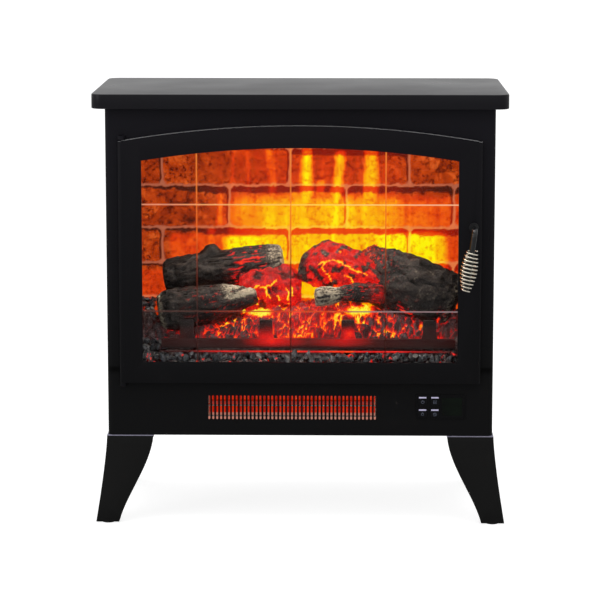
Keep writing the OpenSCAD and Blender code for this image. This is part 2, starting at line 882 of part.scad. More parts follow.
module handle_rod() {
    color("#242326") on_stud() {
        rod_y(0, [-grip_out + bend_r, keeper_y[0]], 0, stud_r);
        translate([0, -grip_out + bend_r, -bend_r]) rotate([90, 0, -90])
            rotate_extrude(angle = 90) translate([bend_r, 0]) circle(r = stud_r);
        rod_z(0, -grip_out, [grip_span[1] + 1, -bend_r], stud_r);
    }
}

module latch_keeper() {
    color("silver") on_stud() intersection() {
        rod_y(0, keeper_y, 0, keeper_r);
        block([-keeper_r, keeper_y[0], -keeper_r], [keeper_r, keeper_y[1], 3]);
    }
}

module latch_magnet() {
    color("#555555") at_face() rod_y(handle_x, [-1.1, 6], handle_z - 5, 2.5);
}

// Barrel-shaped coil of round wire
COIL_STEPS = 16;
COIL_SIDES = 8;
function coil_r(u) = (u < 0.5 ? grip_top_r : grip_low_r)
    + (grip_mid_r - (u < 0.5 ? grip_top_r : grip_low_r)) * sin(180 * u);
function coil_ring(i) =
    let (
        u = i / (grip_turns * COIL_STEPS),
        a = 360 * i / COIL_STEPS,
        z = grip_span[0] - grip_wire / 2 + u * (grip_span[1] - grip_span[0] + grip_wire)
    )
    [for (j = [0:COIL_SIDES - 1])
        let (b = 360 * j / COIL_SIDES, r = coil_r(u) + grip_wire / 2 * cos(b))
            [r * cos(a), r * sin(a) - grip_out, z + grip_wire / 2 * sin(b)]];

module grip_spring() {
    rings = grip_turns * COIL_STEPS;
    points = [for (i = [0:rings]) each coil_ring(i)];
    faces = concat(
        [[for (j = [COIL_SIDES - 1:-1:0]) j]],
        [[for (j = [0:COIL_SIDES - 1]) rings * COIL_SIDES + j]],
        [for (i = [0:rings - 1])
        for (j = [0:COIL_SIDES - 1])
            let (a = i * COIL_SIDES + j, b = i * COIL_SIDES + (j + 1) % COIL_SIDES)
                [a, b, b + COIL_SIDES, a + COIL_SIDES]]
    );
    color("#d9d2bf") on_stud() polyhedron(points, faces, convexity = 12);
}

// ---------- the assembly ----------

top_slab();
cabinet_top_plate();
front_panel();
side_panel_left();
side_panel_right();
rear_panel();
rear_panel_screws();
base_pan();
leg_front_left();
leg_front_right();
leg_rear_left();
leg_rear_right();
leg_spacers();
foot_pads();
leg_bolts();
cord_gland();
firebox_liner();
brick_screen();
ember_bed();
ember_light_board();
fire_grate();
log_rear_left();
log_front_left();
log_glowing_left();
log_glowing_right();
log_right();
stick_front();
loose_coals();
flame_light_board();
flame_motor();
spindle_bush();
heater_housing();
heat_reflector();
quartz_tubes();
tube_end_caps();
guard_wires();
blower_housing();
blower_motor();
thermal_cutout();
power_board();
control_bezel();
display_lens();
indicator_lights();
control_board();
hinge_brackets();
latch_magnet();
door_frame();
door_glass();
door_gasket();
glass_clips();
handle_washer();
handle_rod();
grip_spring();
latch_keeper();
flame_spindle();
blower_wheel();
button_power();
button_heat();
button_flame();
button_timer();
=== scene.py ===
# %% [markdown]
# # An electric stove heater
# The model is a steel cabinet on four flared legs. An arched glass door closes a firebox, where
# moulded logs and embers are lit from inside in front of a brick screen. A fan heater blows warm
# air out of a slotted grille under the door.
#
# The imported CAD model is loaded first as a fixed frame. Plain pieces keep their CAD shape and only
# get a finish. The pieces that carry the looks are modelled again here, in the same places.

# %% Load the frame and measure it
import math

import bmesh
import bpy
import numpy as np
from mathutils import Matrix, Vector, noise


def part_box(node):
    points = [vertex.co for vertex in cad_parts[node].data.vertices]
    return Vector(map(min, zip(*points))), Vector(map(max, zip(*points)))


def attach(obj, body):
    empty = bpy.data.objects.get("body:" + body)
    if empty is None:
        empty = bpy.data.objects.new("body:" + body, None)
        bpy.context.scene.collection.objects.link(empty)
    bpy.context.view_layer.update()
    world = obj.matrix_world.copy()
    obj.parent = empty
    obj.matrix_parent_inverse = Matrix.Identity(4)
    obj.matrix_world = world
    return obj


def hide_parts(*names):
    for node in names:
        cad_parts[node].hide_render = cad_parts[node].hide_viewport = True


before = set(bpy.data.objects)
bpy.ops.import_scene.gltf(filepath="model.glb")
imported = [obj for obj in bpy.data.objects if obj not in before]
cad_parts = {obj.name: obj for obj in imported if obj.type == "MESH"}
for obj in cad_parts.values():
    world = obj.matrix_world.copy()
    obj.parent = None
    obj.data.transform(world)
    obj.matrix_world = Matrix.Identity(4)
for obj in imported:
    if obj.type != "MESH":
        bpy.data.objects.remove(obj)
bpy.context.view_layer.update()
scene = bpy.context.scene
MM = 0.001
face_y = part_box("front_panel")[0].y

# %% [markdown]
# ## Camera, floor and light
# The picture is taken from far off with a long lens, from a little above the slab, so the upright
# edges stay upright. A long lens far away keeps the cabinet square, where a short lens close by
# would make the slab look huge. The floor and the sky are almost white, as on a shop's page.

# %% Camera
camera = bpy.data.objects.new("camera", bpy.data.cameras.new("camera"))
scene.collection.objects.link(camera)
camera.location = (0.0608, -3.5611, 0.9591)
camera.rotation_euler = (math.pi / 2 - 0.1472, 0, 0.0176)
camera.data.lens = 142.5
camera.data.shift_y = -0.12
camera.data.clip_end = 50
scene.camera = camera
scene.view_settings.view_transform = "Standard"


# %% Colours and nodes
def linear(code, alpha=1.0):
    """An sRGB hex colour such as "#1d1c21" as the linear values that Blender works in."""
    parts = [int(code[i:i + 2], 16) / 255 for i in (1, 3, 5)]
    return tuple(c / 12.92 if c <= 0.04045 else ((c + 0.055) / 1.055) ** 2.4
        for c in parts) + (alpha,)


def node(tree, kind, inputs=None, **settings):
    """Adds a node of a kind such as "TexNoise". Each input is a value, another node's output, or
    another node, which stands for its first output in use. A Mix node's colours are its
    inputs 6 and 7."""
    made = tree.nodes.new("ShaderNode" + kind)
    for key, value in settings.items():
        if key == "stops":
            ramp = made.color_ramp.elements
            while len(ramp) < len(value):
                ramp.new(0.5)
            for element, (place, colour) in zip(ramp, value):
                element.position, element.color = place, linear(colour)
        else:
            setattr(made, key, value)
    for key, value in (inputs or {}).items():
        if isinstance(value, bpy.types.Node):
            value = next(way for way in value.outputs if way.enabled)
        if isinstance(value, bpy.types.NodeSocket):
            tree.links.new(value, made.inputs[key])
        else:
            made.inputs[key].default_value = value
    return made


def start_material(name, **sockets):
    """A new material, with values or colours set on its shader: spaces in a socket's name are _."""
    material = bpy.data.materials.new(name)
    material.use_nodes = True
    shader = material.node_tree.nodes["Principled BSDF"]
    for key, value in sockets.items():
        shader.inputs[key.replace("_", " ")].default_value = value
    return material, material.node_tree, shader


def join(shader, **makers):
    """Links the first output in use of each given node to the shader's socket of that name."""
    for key, maker in makers.items():
        way = next(way for way in maker.outputs if way.enabled)
        shader.id_data.links.new(way, shader.inputs[key.replace("_", " ")])


def dress(material, *cad_nodes):
    """Gives CAD nodes that keep their shape their material."""
    for name in cad_nodes:
        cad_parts[name].data.materials.clear()
        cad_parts[name].data.materials.append(material)


# %% Floor, sky and lamps
bpy.ops.object.select_all(action="DESELECT")
bpy.ops.mesh.primitive_plane_add(size=30, location=(0, 0, 0))
floor = bpy.context.object
floor.name = "studio_floor"
# matt white paper, lit so brightly that it burns out to white in the picture
paper, tree, shader = start_material("white_studio_paper", Roughness=0.9, Specular_IOR_Level=0.05,
    Emission_Color=(1, 1, 1, 1))
fibres = node(tree, "TexNoise", {"Scale": 40.0, "Detail": 4.0})
tone = node(tree, "ValToRGB", {"Fac": fibres}, stops=[(0.3, "#b4b4b4"), (0.7, "#bababa")])
seen = node(tree, "LightPath").outputs["Is Camera Ray"]
burn = node(tree, "MapRange", {"Value": seen, "To Max": 0.80})
join(shader, Base_Color=tone, Emission_Strength=burn)
floor.data.materials.append(paper)

SKY_LIGHT = 0.76                 # the sky is seen white, but lights the black paint a little less
world = bpy.data.worlds.new("studio")
scene.world = world
world.use_nodes = True
backdrop = world.node_tree.nodes["Background"]
backdrop.inputs["Color"].default_value = (1, 1, 1, 1)
seen = node(world.node_tree, "LightPath").outputs["Is Camera Ray"]
sky = node(world.node_tree, "MapRange", {"Value": seen, "To Min": SKY_LIGHT, "To Max": 1.0})
join(backdrop, Strength=sky)


def softbox(name, place, aim, size, power, colour="#ffffff"):
    lamp = bpy.data.objects.new(name, bpy.data.lights.new(name, "AREA"))
    scene.collection.objects.link(lamp)
    lamp.location = place
    lamp.rotation_euler = (Vector(aim) - Vector(place)).to_track_quat("-Z", "Y").to_euler()
    lamp.data.shape, lamp.data.size, lamp.data.size_y = "RECTANGLE", size[0], size[1]
    lamp.data.energy = power
    lamp.data.color = linear(colour)[:3]


softbox("softbox_top", (0, -0.3, 2.6), (0, 0, 0.3), (2.4, 1.6), 26)
softbox("softbox_left", (-2.4, -1.6, 1.4), (0, 0, 0.3), (1.2, 1.6), 12)
softbox("firelight", (0.0, face_y + 0.02, 0.540), (0, face_y + 0.07, 0.3), (0.42, 0.03), 0.9,
    "#ffeede")


# %% [markdown]
# ## Tools for modelling
# Each piece is modelled as by hand. A primitive is added, faces or edges are picked by their place,
# and operators shape them. These few helpers only pick, apply and name.

# %% Modelling helpers
def alone(obj):
    """Leaves edit mode and makes obj the only thing selected."""
    if bpy.context.object and bpy.context.object.mode != "OBJECT":
        bpy.ops.object.mode_set(mode="OBJECT")
    bpy.ops.object.select_all(action="DESELECT")
    if obj:
        obj.select_set(True)
        bpy.context.view_layer.objects.active = obj


def pick(obj, kind, rule):
    """Enters edit mode and selects the faces, edges or vertices whose place and direction suit
    the rule."""
    alone(obj)
    bpy.ops.object.mode_set(mode="EDIT")
    bpy.ops.mesh.select_mode(type=kind)
    bpy.ops.mesh.select_all(action="DESELECT")
    shape = bmesh.from_edit_mesh(obj.data)
    for item in {"FACE": shape.faces, "EDGE": shape.edges, "VERT": shape.verts}[kind]:
        if kind == "FACE":
            item.select_set(bool(rule(item.calc_center_median(), item.normal)))
        elif kind == "EDGE":
            a, b = item.verts[0].co, item.verts[1].co
            item.select_set(bool(rule((a + b) / 2, b - a)))
        else:
            item.select_set(bool(rule(item.co, item.normal)))
    shape.select_flush_mode()
    bmesh.update_edit_mesh(obj.data)


def named(name):
    """Ends a primitive's placing: its place goes into its mesh, and it gets its name."""
    obj = bpy.context.object
    alone(obj)
    bpy.ops.object.transform_apply(location=True, rotation=True, scale=True)
    obj.name = obj.data.name = name
    return obj


def modify(obj, kind, **settings):
    """Adds a modifier and applies it."""
    alone(obj)
    step = obj.modifiers.new(kind.lower(), kind)
    for key, value in settings.items():
        setattr(step, key, value)
    bpy.ops.object.modifier_apply(modifier=step.name)


def outward(obj):
    """Turns every face outwards and leaves edit mode."""
    alone(obj)
    bpy.ops.object.mode_set(mode="EDIT")
    bpy.ops.mesh.select_all(action="SELECT")
    bpy.ops.mesh.remove_doubles(threshold=0.00002)
    bpy.ops.mesh.normals_make_consistent(inside=False)
    bpy.ops.object.mode_set(mode="OBJECT")


def smooth(obj, degrees=35):
    alone(obj)
    bpy.ops.object.shade_smooth_by_angle(angle=math.radians(degrees))


def fit(obj, material, body, slot, *nodes):
    """Gives a finished piece its material and body, and hides the CAD nodes it stands for. The slot
    is not used.
    """
    obj.data.materials.clear()
    obj.data.materials.append(material)
    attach(obj, body)
    if nodes:
        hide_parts(*nodes)
    print(obj.name, len(obj.data.polygons), "faces")
    return obj


def softened(cad_node, name, width, segments=2, angle=32, flatten=True):
    """A copy of a CAD node with its sharp edges rounded, as pressed and painted metal has them."""
    obj = bpy.data.objects.new(name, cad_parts[cad_node].data.copy())
    scene.collection.objects.link(obj)
    alone(obj)
    bpy.ops.mesh.customdata_custom_splitnormals_clear()
    bpy.ops.object.mode_set(mode="EDIT")
    bpy.ops.mesh.select_all(action="SELECT")
    bpy.ops.mesh.remove_doubles(threshold=0.00001)
    if flatten:
        bpy.ops.mesh.dissolve_limited(angle_limit=math.radians(0.6))
    bpy.ops.object.mode_set(mode="OBJECT")
    modify(obj, "BEVEL", width=width, segments=segments, limit_method="ANGLE",
        angle_limit=math.radians(angle), use_clamp_overlap=True, miter_outer="MITER_ARC")
    smooth(obj)
    return obj


def paint(obj, name, values):
    """Stores one number for each vertex, for the material to read."""
    layer = obj.data.attributes.new(name, "FLOAT", "POINT")
    layer.data.foreach_set("value", np.asarray(values, np.float32))


def points(obj):
    co = np.zeros(len(obj.data.vertices) * 3, np.float32)
    obj.data.vertices.foreach_get("co", co)
    return co.reshape(-1, 3).astype(float)


def set_points(obj, co):
    obj.data.vertices.foreach_set("co", np.asarray(co, np.float32).ravel())
    obj.data.update()


def ease(x, low, high):
    """0 below low, 1 above high, and a smooth step between."""
    t = np.clip((np.asarray(x, float) - low) / (high - low), 0, 1)
    return t * t * (3 - 2 * t)


def grain(spots, size, seed=0.0, octaves=3):
    """Soft noise from -1 to 1 at each point, with lumps of the given size. Spots are in metres."""
    lumps = np.asarray(spots, float) / np.asarray(size, float)
    return np.array([noise.fractal(Vector(p) + Vector((seed, 3.1 * seed, 7.7)), 0.6, 2.0, octaves)
        for p in lumps])


def cells(spots, size, seed=0.0):
    """How far each point is inside its cell of a broken-up surface: 0 at a crack."""
    out = []
    for p in np.asarray(spots, float) / np.asarray(size, float):
        near = noise.voronoi(Vector(p) + Vector((seed, 0, 0)))[0]
        out.append(near[1] - near[0])
    return np.array(out)


# %% [markdown]
# ## Black powder coat
# The cabinet is folded from mild steel sheet and powder coated: a dry powder is melted onto it, so
# the skin is a satin plastic with a very fine orange peel. Seen square on it is almost black, and
# seen along the surface it turns grey. That change comes from the shader's own Fresnel reflection.
# The colour itself is painted darker low down and lighter near the top: painted shade, standing
# for the light that falls from above.

# %% Powder coat
# painted shade: between these heights the coat's colour goes from the dark tone to the light one
PAINTED_SHADE_HEIGHTS = (0.12, 0.645)     # the heights between which the coat's colour drifts, in metres


def powder_coat(name, dark, light, rough, specular, peel_mm=1.6, depth=0.00004, lip=None):
    material, tree, shader = start_material(name, Roughness=rough, Specular_IOR_Level=specular)
    place = node(tree, "TexCoord").outputs["Object"]
    peel = node(tree, "TexNoise", {"Vector": place, "Scale": 1000 / peel_mm, "Detail": 2.0})
    cloud = node(tree, "TexNoise", {"Vector": place, "Scale": 9.0, "Detail": 3.0})
    split = node(tree, "SeparateXYZ", {"Vector": place})
    # painted shade: the base colour is darker low down and lighter high up, as the light from above
    # falls
    rise = node(tree, "MapRange", {"Value": split.outputs["Z"], "From Min": PAINTED_SHADE_HEIGHTS[0],
        "From Max": PAINTED_SHADE_HEIGHTS[1]})
    mottle = node(tree, "Math", {0: cloud, 1: 0.16, 2: -0.08}, operation="MULTIPLY_ADD")
    level = node(tree, "Math", {0: rise, 1: mottle}, operation="ADD")
    stops = [(0.02, dark), (0.95, light)]
    # lip paints a near-black band between two heights: a painted shadow
    if lip:
        at = [(z - PAINTED_SHADE_HEIGHTS[0]) / (PAINTED_SHADE_HEIGHTS[1] - PAINTED_SHADE_HEIGHTS[0]) for z in lip]
        stops = [(0.02, dark), (at[0], dark), (at[0] + 0.012, "#020202"), (at[1], "#020202"),
            (at[1] + 0.004, dark), (0.95, light)]
    tone = node(tree, "ValToRGB", {"Fac": rise if lip else level}, stops=stops)
    wear = node(tree, "MapRange", {"Value": cloud,
        "From Min": 0.3, "From Max": 0.7, "To Min": rough - 0.03, "To Max": rough + 0.03})
    bump = node(tree, "Bump", {"Height": peel, "Strength": 0.25, "Distance": depth})
    join(shader, Base_Color=tone, Roughness=wear, Normal=bump)
    return material


# satin black on mild steel: an even, soft black
cabinet_coat = powder_coat("powder_coated_steel_satin", "#111113", "#1d1c21", 0.42, 0.055)
# the front sheet has a painted shadow, its lip: a near-black band just under the door, between two
# heights in metres
front_coat = powder_coat("powder_coated_steel_front", "#121213", "#1d1c21", 0.42, 0.055,
    lip=(0.226, 0.2365))
# the door's own batch of powder, a little glossier
door_coat = powder_coat("powder_coated_steel_door", "#0d0d0e", "#18171b", 0.38, 0.07)
# lacquered fibreboard: smoother than the steel, so it greys more along its top
slab_lacquer = powder_coat("lacquered_fibreboard_satin", "#0b0b0d", "#121116", 0.30, 0.19, 3.0,
    0.00002)
# black stoving paint on the pressed legs, a little duller
leg_paint = powder_coat("stoved_paint_on_pressed_steel", "#121212", "#161616", 0.50, 0.12)
# matte black heat-proof paint inside the firebox
liner_paint = powder_coat("heatproof_matte_paint", "#050505", "#0a0908", 0.75, 0.10, 2.5)


# %% [markdown]
# ## Finishes for the plain parts
# Most parts inside are bare metal, moulded plastic or circuit board. They all need a colour that is
# not perfectly even, a little change in gloss, and a fine grain at the real size of that surface.

# %% Plain finishes
def finish(name, dark, light, rough, metallic=0.0, grain_mm=2.0, stretch=(1, 1, 1), depth=0.00005,
        **sockets):
    material, tree, shader = start_material(name, Metallic=metallic, **sockets)
    place = node(tree, "TexCoord").outputs["Object"]
    turn = node(tree, "Mapping", {"Vector": place, "Scale": stretch})
    fine = node(tree, "TexNoise", {"Vector": turn, "Scale": 1000 / grain_mm, "Detail": 4.0})
    tone = node(tree, "ValToRGB", {"Fac": fine}, stops=[(0.3, dark), (0.7, light)])
    gloss = node(tree, "MapRange", {"Value": fine,
        "From Min": 0.3, "From Max": 0.7, "To Min": rough * 0.85, "To Max": min(1.0, rough * 1.15)})
    bump = node(tree, "Bump", {"Height": fine, "Strength": 0.3, "Distance": depth})
    join(shader, Base_Color=tone, Roughness=gloss, Normal=bump)
    return material


galvanised = finish("zinc_plated_sheet", "#8d9193", "#a9adae", 0.42, 1.0, 9.0)
drawn_wire = finish("drawn_steel_wire", "#a8a39c", "#c9c5be", 0.30, 1.0, 0.8, (1, 8, 8))
fan_metal = finish("rolled_aluminium", "#b9bbbd", "#cfd1d2", 0.38, 1.0, 1.5, (0.1, 1, 1))
motor_metal = finish("pressed_motor_steel", "#8a8c8e", "#a0a2a4", 0.40, 1.0, 4.0)
nickel = finish("nickel_plated_magnet", "#8f8c86", "#a5a29c", 0.28, 1.0, 3.0)
nylon_black = finish("moulded_black_nylon", "#0d0d0d", "#161616", 0.55, 0.0, 0.9, IOR=1.53)
nylon_white = finish("moulded_natural_nylon", "#d6d4cc", "#e4e2da", 0.5, 0.0, 1.0, IOR=1.53)
spacer_plastic = finish("lavender_grey_spacer", "#7d7a8d", "#928fa3", 0.6, 0.0, 1.2)
rubber = finish("moulded_rubber", "#101010", "#1a1a1a", 0.85, 0.0, 0.7)
board = finish("green_circuit_board", "#0c4526", "#15603a", 0.45, 0.0, 5.0)
ceramic = finish("fired_steatite", "#d9d0ba", "#ece4d2", 0.7, 0.0, 0.8)
phenolic = finish("cream_phenolic", "#c8c0ad", "#d6cfbe", 0.5, 0.0, 1.5)
rope = finish("woven_glass_rope", "#0b0b0b", "#1d1c1b", 0.95, 0.0, 1.4, (1, 1, 3), 0.0004)

for names, material in (
    (("rear_panel_screws", "leg_bolts", "glass_clips", "latch_keeper", "blower_housing"),
     galvanised),
    (("guard_wires",), drawn_wire), (("blower_wheel", "flame_spindle"), fan_metal),
    (("flame_motor", "blower_motor"), motor_metal), (("latch_magnet",), nickel),
    (("cord_gland",), nylon_black), (("spindle_bush",), nylon_white),
    (("leg_spacers",), spacer_plastic), (("foot_pads",), rubber),
    (("ember_light_board", "flame_light_board", "power_board", "control_board"), board),
    (("tube_end_caps",), ceramic), (("thermal_cutout",), phenolic), (("door_gasket",), rope),
    (("firebox_liner",), liner_paint),
    (("cabinet_top_plate", "side_panel_left", "side_panel_right", "rear_panel", "base_pan",
      "hinge_brackets"), cabinet_coat),
    (("front_panel",), front_coat),
):
    dress(material, *names)
print("plain finishes are on")

# %% [markdown]
# ## Top slab
# The slab is a board about 22 mm thick with well rounded corners and lightly eased edges. It is
# modelled from a cube: its four upright edges get the large corner radius, then a small bevel eases
# the rims, which is what draws the thin light line along the front.

# %% Top slab
low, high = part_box("top_slab")
alone(None)
bpy.ops.mesh.primitive_cube_add(size=1, location=(low + high) / 2, scale=high - low)
slab = named("slab_board")
pick(slab, "EDGE", lambda middle, along: abs(along.z) > 0.01)
bpy.ops.mesh.bevel(offset=0.018, segments=12, profile=0.5, affect="EDGES")
bpy.ops.object.mode_set(mode="OBJECT")
modify(slab, "BEVEL", width=0.0012, segments=4, limit_method="ANGLE", angle_limit=math.radians(50))
smooth(slab)
fit(slab, slab_lacquer, "cabinet", "slab_black", "top_slab")

# %% [markdown]
# ## Door and legs
# The door is a thick steel frame with half-round sides and an arched head. The legs are pressed
# from steel and flare outwards. Their outlines are right in the CAD model, so copies of those
# meshes are merged and their edges eased: a real painted edge is never sharp, and the eased edge
# catches the light.

# %% Door frame and legs
door = softened("door_frame", "door_frame_pressed", 0.0016, 4, 40)
fit(door, door_coat, "door", "cabinet_black", "door_frame")
# painted highlight: the upward faces of the door's arched top edge get a light grey coat, where the
# light from above catches that edge
door_edge_highlight = powder_coat("painted_highlight_on_door_edge", "#a2a2a4", "#b4b3b5", 0.35, 0.50)
door.data.materials.append(door_edge_highlight)
for face in door.data.polygons:
    face.material_index = int(face.normal.z > 0.45 and face.center.z > 0.53)
for side in ("front_left", "front_right", "rear_left", "rear_right"):
    leg = softened(f"leg_{side}", f"leg_{side}_pressed", 0.0009, 2, 40)
    fit(leg, leg_paint, "cabinet", "leg_black", f"leg_{side}")

# %% [markdown]
# ## Brick screen and its flames
# Behind the logs stands a thin translucent panel, moulded and printed as a brick wall. A turning
# spindle of foil petals throws moving light on it from behind, which looks like flames. Light comes
# through the whole panel, so it is a glowing surface: its colour is made of the print and of how
# much light reaches each place. A fine sheet of points can carry both, so a grid is modelled, the
# mortar stands proud of the bricks in the mesh itself, and three numbers are stored on each point:
# mortar, shade under the mortar, and heat.

# %% The bricks' places
COURSES = [263, 318, 371, 426, 491, 549, 600]      # heights of the mortar lines, in mm
JOINTS = ((-402, -214, -18, 165, 350),             # upright joints of every second course
    (-300, -111, 69, 233, 420))
JOINT = 3.6                                        # thickness of a mortar joint
# flame tongues: middle, lean, half width, low end, high end, strength
TONGUES = [
    (-107, 4, 8, 480, 552, 0.34), (-77, -6, 7, 470, 550, 0.40), (-42, -7, 12, 440, 548, 0.50),
    (7, 2, 14, 380, 548, 0.86), (46, 14, 14, 380, 543, 0.86), (104, 2, 16, 380, 552, 0.80),
    (143, 0, 9, 425, 470, 0.60), (-20, 8, 10, 425, 480, 0.62), (-64, 4, 20, 370, 462, 0.74),
    (30, -4, 16, 380, 500, 0.60), (78, 4, 10, 380, 470, 0.70), (-125, 0, 7, 430, 478, 0.46),
    (188, -10, 8, 425, 458, 0.48), (-140, 3, 12, 370, 425, 0.50),
]


def brick_edge(x, z):
    """Distance outside the nearest brick's rounded outline, in mm: negative on the brick."""
    out = np.full(len(x), 99.0)
    for i, (bottom, top) in enumerate(zip(COURSES[:-1], COURSES[1:])):
        for left, right in zip(JOINTS[i % 2][:-1], JOINTS[i % 2][1:]):
            half = np.array([(right - left - JOINT) / 2, (top - bottom - JOINT) / 2])
            away = np.abs(np.stack([x - (left + right) / 2, z - (bottom + top) / 2], 1))
            away -= half - 8
            edge = np.hypot(*np.maximum(away, 0).T) + np.minimum(away.max(1), 0) - 8
            out = np.minimum(out, edge)
    return out


def flame_heat(x, z, streak):
    """How much flame light reaches each place, from 0 to 1."""
    heat = 0.10 + 0.24 * np.exp(-((x - 20) / 170) ** 4)
    heat = heat + 0.10 * np.exp(-((x - 20) / 190) ** 2) * ease(-z, -500, -380)
    # the wide yellow heart of the fire, low in the middle and to the right
    heart = np.exp(-(np.maximum(np.abs(x - 50) - 120, 0) / 38) ** 2) * ease(-z, -440, -405)
    heat = np.maximum(heat, 0.82 * heart)
    heat = np.maximum(heat, 1.02 * np.exp(-((x - 160) / 68) ** 6) * ease(-z, -428, -412))
    heat = np.maximum(heat, 1.00 * np.exp(-((x + 88) / 36) ** 6) * ease(-z, -420, -408))
    heat = np.maximum(heat, 0.38 * ease(x, -214, -196) * ease(-z, -426, -412))
    heat = np.maximum(heat, 0.33 * ease(-x, 180, 200) * ease(-z, -368, -356))
    row = np.interp(x, [-140, -100, -60, 0, 100, 150, 215],
        [0.36, 0.52, 0.74, 0.80, 0.80, 0.56, 0.40])
    heat = np.maximum(heat, row * ease(-z, -500, -458) * ease(x, -150, -100))
    for middle, lean, half, bottom, top, strength in TONGUES:
        up = (z - bottom) / (top - bottom)
        spread = half * (1.25 - 0.45 * np.clip(up, 0, 1)) * (1 + 0.20 * streak)
        across = np.exp(-np.abs((x - middle - lean * np.clip(up, 0, 1)) / spread) ** 2.3)
        tongue = strength * across * ease(up, -0.25, 0.05) * ease(-up, -1.06, -0.96)
        heat = np.maximum(heat, tongue)
    return heat


# %% Model the screen
low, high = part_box("brick_screen")
alone(None)
bpy.ops.mesh.primitive_grid_add(x_subdivisions=300, y_subdivisions=220, size=1,
    location=((low.x + high.x) / 2, high.y - 0.004, (low.z + high.z) / 2),
    rotation=(math.pi / 2, 0, 0))
bpy.context.object.scale = (high.x - low.x, high.z - low.z, 1)
bricks = named("brick_screen_moulded")
spots = points(bricks)
flat = spots * [1, 0, 1]
wave = grain(flat, 0.030, 2.0, 3)
fine = grain(flat, 0.007, 5.0, 3)
streak = grain(flat, (0.012, 1, 0.16), 9.0, 3)
x, z = spots[:, 0] * 1000, spots[:, 2] * 1000
xw, zw = x + 1.6 * wave, z + 1.6 * fine + 1.2 * wave
edge = brick_edge(xw, zw)
mortar = ease(edge, -0.9, 0.9)
# the mortar's shadow lies under it: thin at the cold left, and deep where flames shine past it
band = 4.0 + 6.0 * ease(x, -215, -120) + 2.0 * wave
band = np.where(z > 532, 2.0 + 9.0 * ease(x, -24, -12) * ease(-x, -172, -158), band)
shade = np.zeros(len(x))
for part in (0.25, 0.5, 0.75, 1.0):
    shade = np.maximum(shade, ease(brick_edge(xw + 2.8 * part, zw + band * part), -0.6, 0.9))
shade *= 1 - mortar
heat = flame_heat(x + 1.0 * fine + 2.5 * wave, z, streak)
heat = heat * (1 + 0.16 * streak) - 0.05 * np.maximum(fine, 0)
spots[:, 1] -= (2.2 * mortar + 0.5 * fine * (1 - mortar) - 0.8 * shade) * MM
set_points(bricks, spots)
paint(bricks, "mortar", mortar)
paint(bricks, "shade", shade)
paint(bricks, "flame_light", np.clip(heat, 0, 1.1))
# the sheet's rim is drawn back to a flat plane and filled, so that the panel is a closed solid
pick(bricks, "EDGE", lambda middle, along: min(middle.x - low.x, high.x - middle.x,
    middle.z - low.z, high.z - middle.z) < 0.0001)
bpy.ops.mesh.extrude_edges_move(TRANSFORM_OT_translate={"value": (0, 0.002, 0)})
bpy.ops.transform.resize(value=(1, 0, 1), center_override=(0, high.y - 0.0015, 0))
bpy.ops.mesh.edge_face_add()
outward(bricks)
smooth(bricks, 60)

# %% Lit brick print
# printed translucent panel: its print shows as red-orange brick where little light comes through,
# and burns out to yellow where much does
brick_print, tree, shader = start_material("printed_translucent_acrylic",
    Base_Color=linear("#2a0c04"), Roughness=0.7,
    Specular_IOR_Level=0.05, Emission_Strength=1.0)
place = node(tree, "TexCoord").outputs["Object"]
heat_in = node(tree, "Attribute", attribute_name="flame_light").outputs["Fac"]
mortar_in = node(tree, "Attribute", attribute_name="mortar").outputs["Fac"]
shade_in = node(tree, "Attribute", attribute_name="shade").outputs["Fac"]
blotch = node(tree, "TexNoise", {"Vector": place, "Scale": 38.0,
    "Detail": 7.0, "Roughness": 0.68, "Distortion": 0.6})
pits = node(tree, "TexNoise", {"Vector": place, "Scale": 150.0, "Detail": 5.0, "Roughness": 0.7})
cold = node(tree, "ValToRGB", {"Fac": blotch},
    stops=[(0.30, "#3c1006"), (0.42, "#8c2806"), (0.54, "#b83e08"), (0.72, "#e46c28")])
flecks = node(tree, "MapRange", {"Value": pits,
    "From Min": 0.38, "From Max": 0.50, "To Min": 1.0, "To Max": 0.0})
spread = node(tree, "MapRange", {"Value": blotch,
    "From Min": 0.3, "From Max": 0.7, "To Min": -0.07, "To Max": 0.07})
lift = node(tree, "Math", {0: heat_in, 1: spread}, operation="ADD")
flame = node(tree, "ValToRGB", {"Fac": lift},
    stops=[(0.18, "#c23a06"), (0.34, "#f23c06"), (0.46, "#f56008"), (0.60, "#f88a06"),
    (0.74, "#fbb000"), (0.88, "#ffd800"), (0.98, "#fff200")])
glow = node(tree, "MapRange", {"Value": heat_in,
    "From Min": 0.14, "From Max": 0.50, "To Min": 0.0, "To Max": 1.0})
brick = node(tree, "Mix", {"Factor": glow, 6: cold, 7: flame}, data_type="RGBA")
soot = node(tree, "Mix", {"Factor": glow, 6: linear("#8a7068"),
    7: linear("#f4b488")}, data_type="RGBA")
worn = node(tree, "Mix", {"Factor": flecks, 6: brick,
    7: soot}, data_type="RGBA", blend_type="MULTIPLY")
lime = node(tree, "ValToRGB", {"Fac": heat_in},
    stops=[(0.10, "#a85c42"), (0.35, "#dc7044"), (0.60, "#f49434"), (0.9, "#ffdc30")])
jointed = node(tree, "Mix", {"Factor": mortar_in, 6: worn, 7: lime}, data_type="RGBA")
gloom = node(tree, "ValToRGB", {"Fac": heat_in},
    stops=[(0.15, "#3c1208"), (0.36, "#8a1204"), (0.55, "#dc2402"), (0.95, "#f05002")])
lit = node(tree, "Mix", {"Factor": shade_in, 6: jointed, 7: gloom}, data_type="RGBA")
bump = node(tree, "Bump", {"Height": pits, "Strength": 0.4, "Distance": 0.0004})
join(shader, Emission_Color=lit, Normal=bump)
fit(bricks, brick_print, "cabinet", "brick_resin", "brick_screen")
# the unprinted back of the panel, which the vents show, is only dull orange plastic
panel_back = finish("unprinted_acrylic_back", "#2a1006", "#3c180a", 0.5, 0.0, 2.0)
bricks.data.materials.append(panel_back)
for face in bricks.data.polygons:
    face.material_index = int(face.normal.y > 0.3)

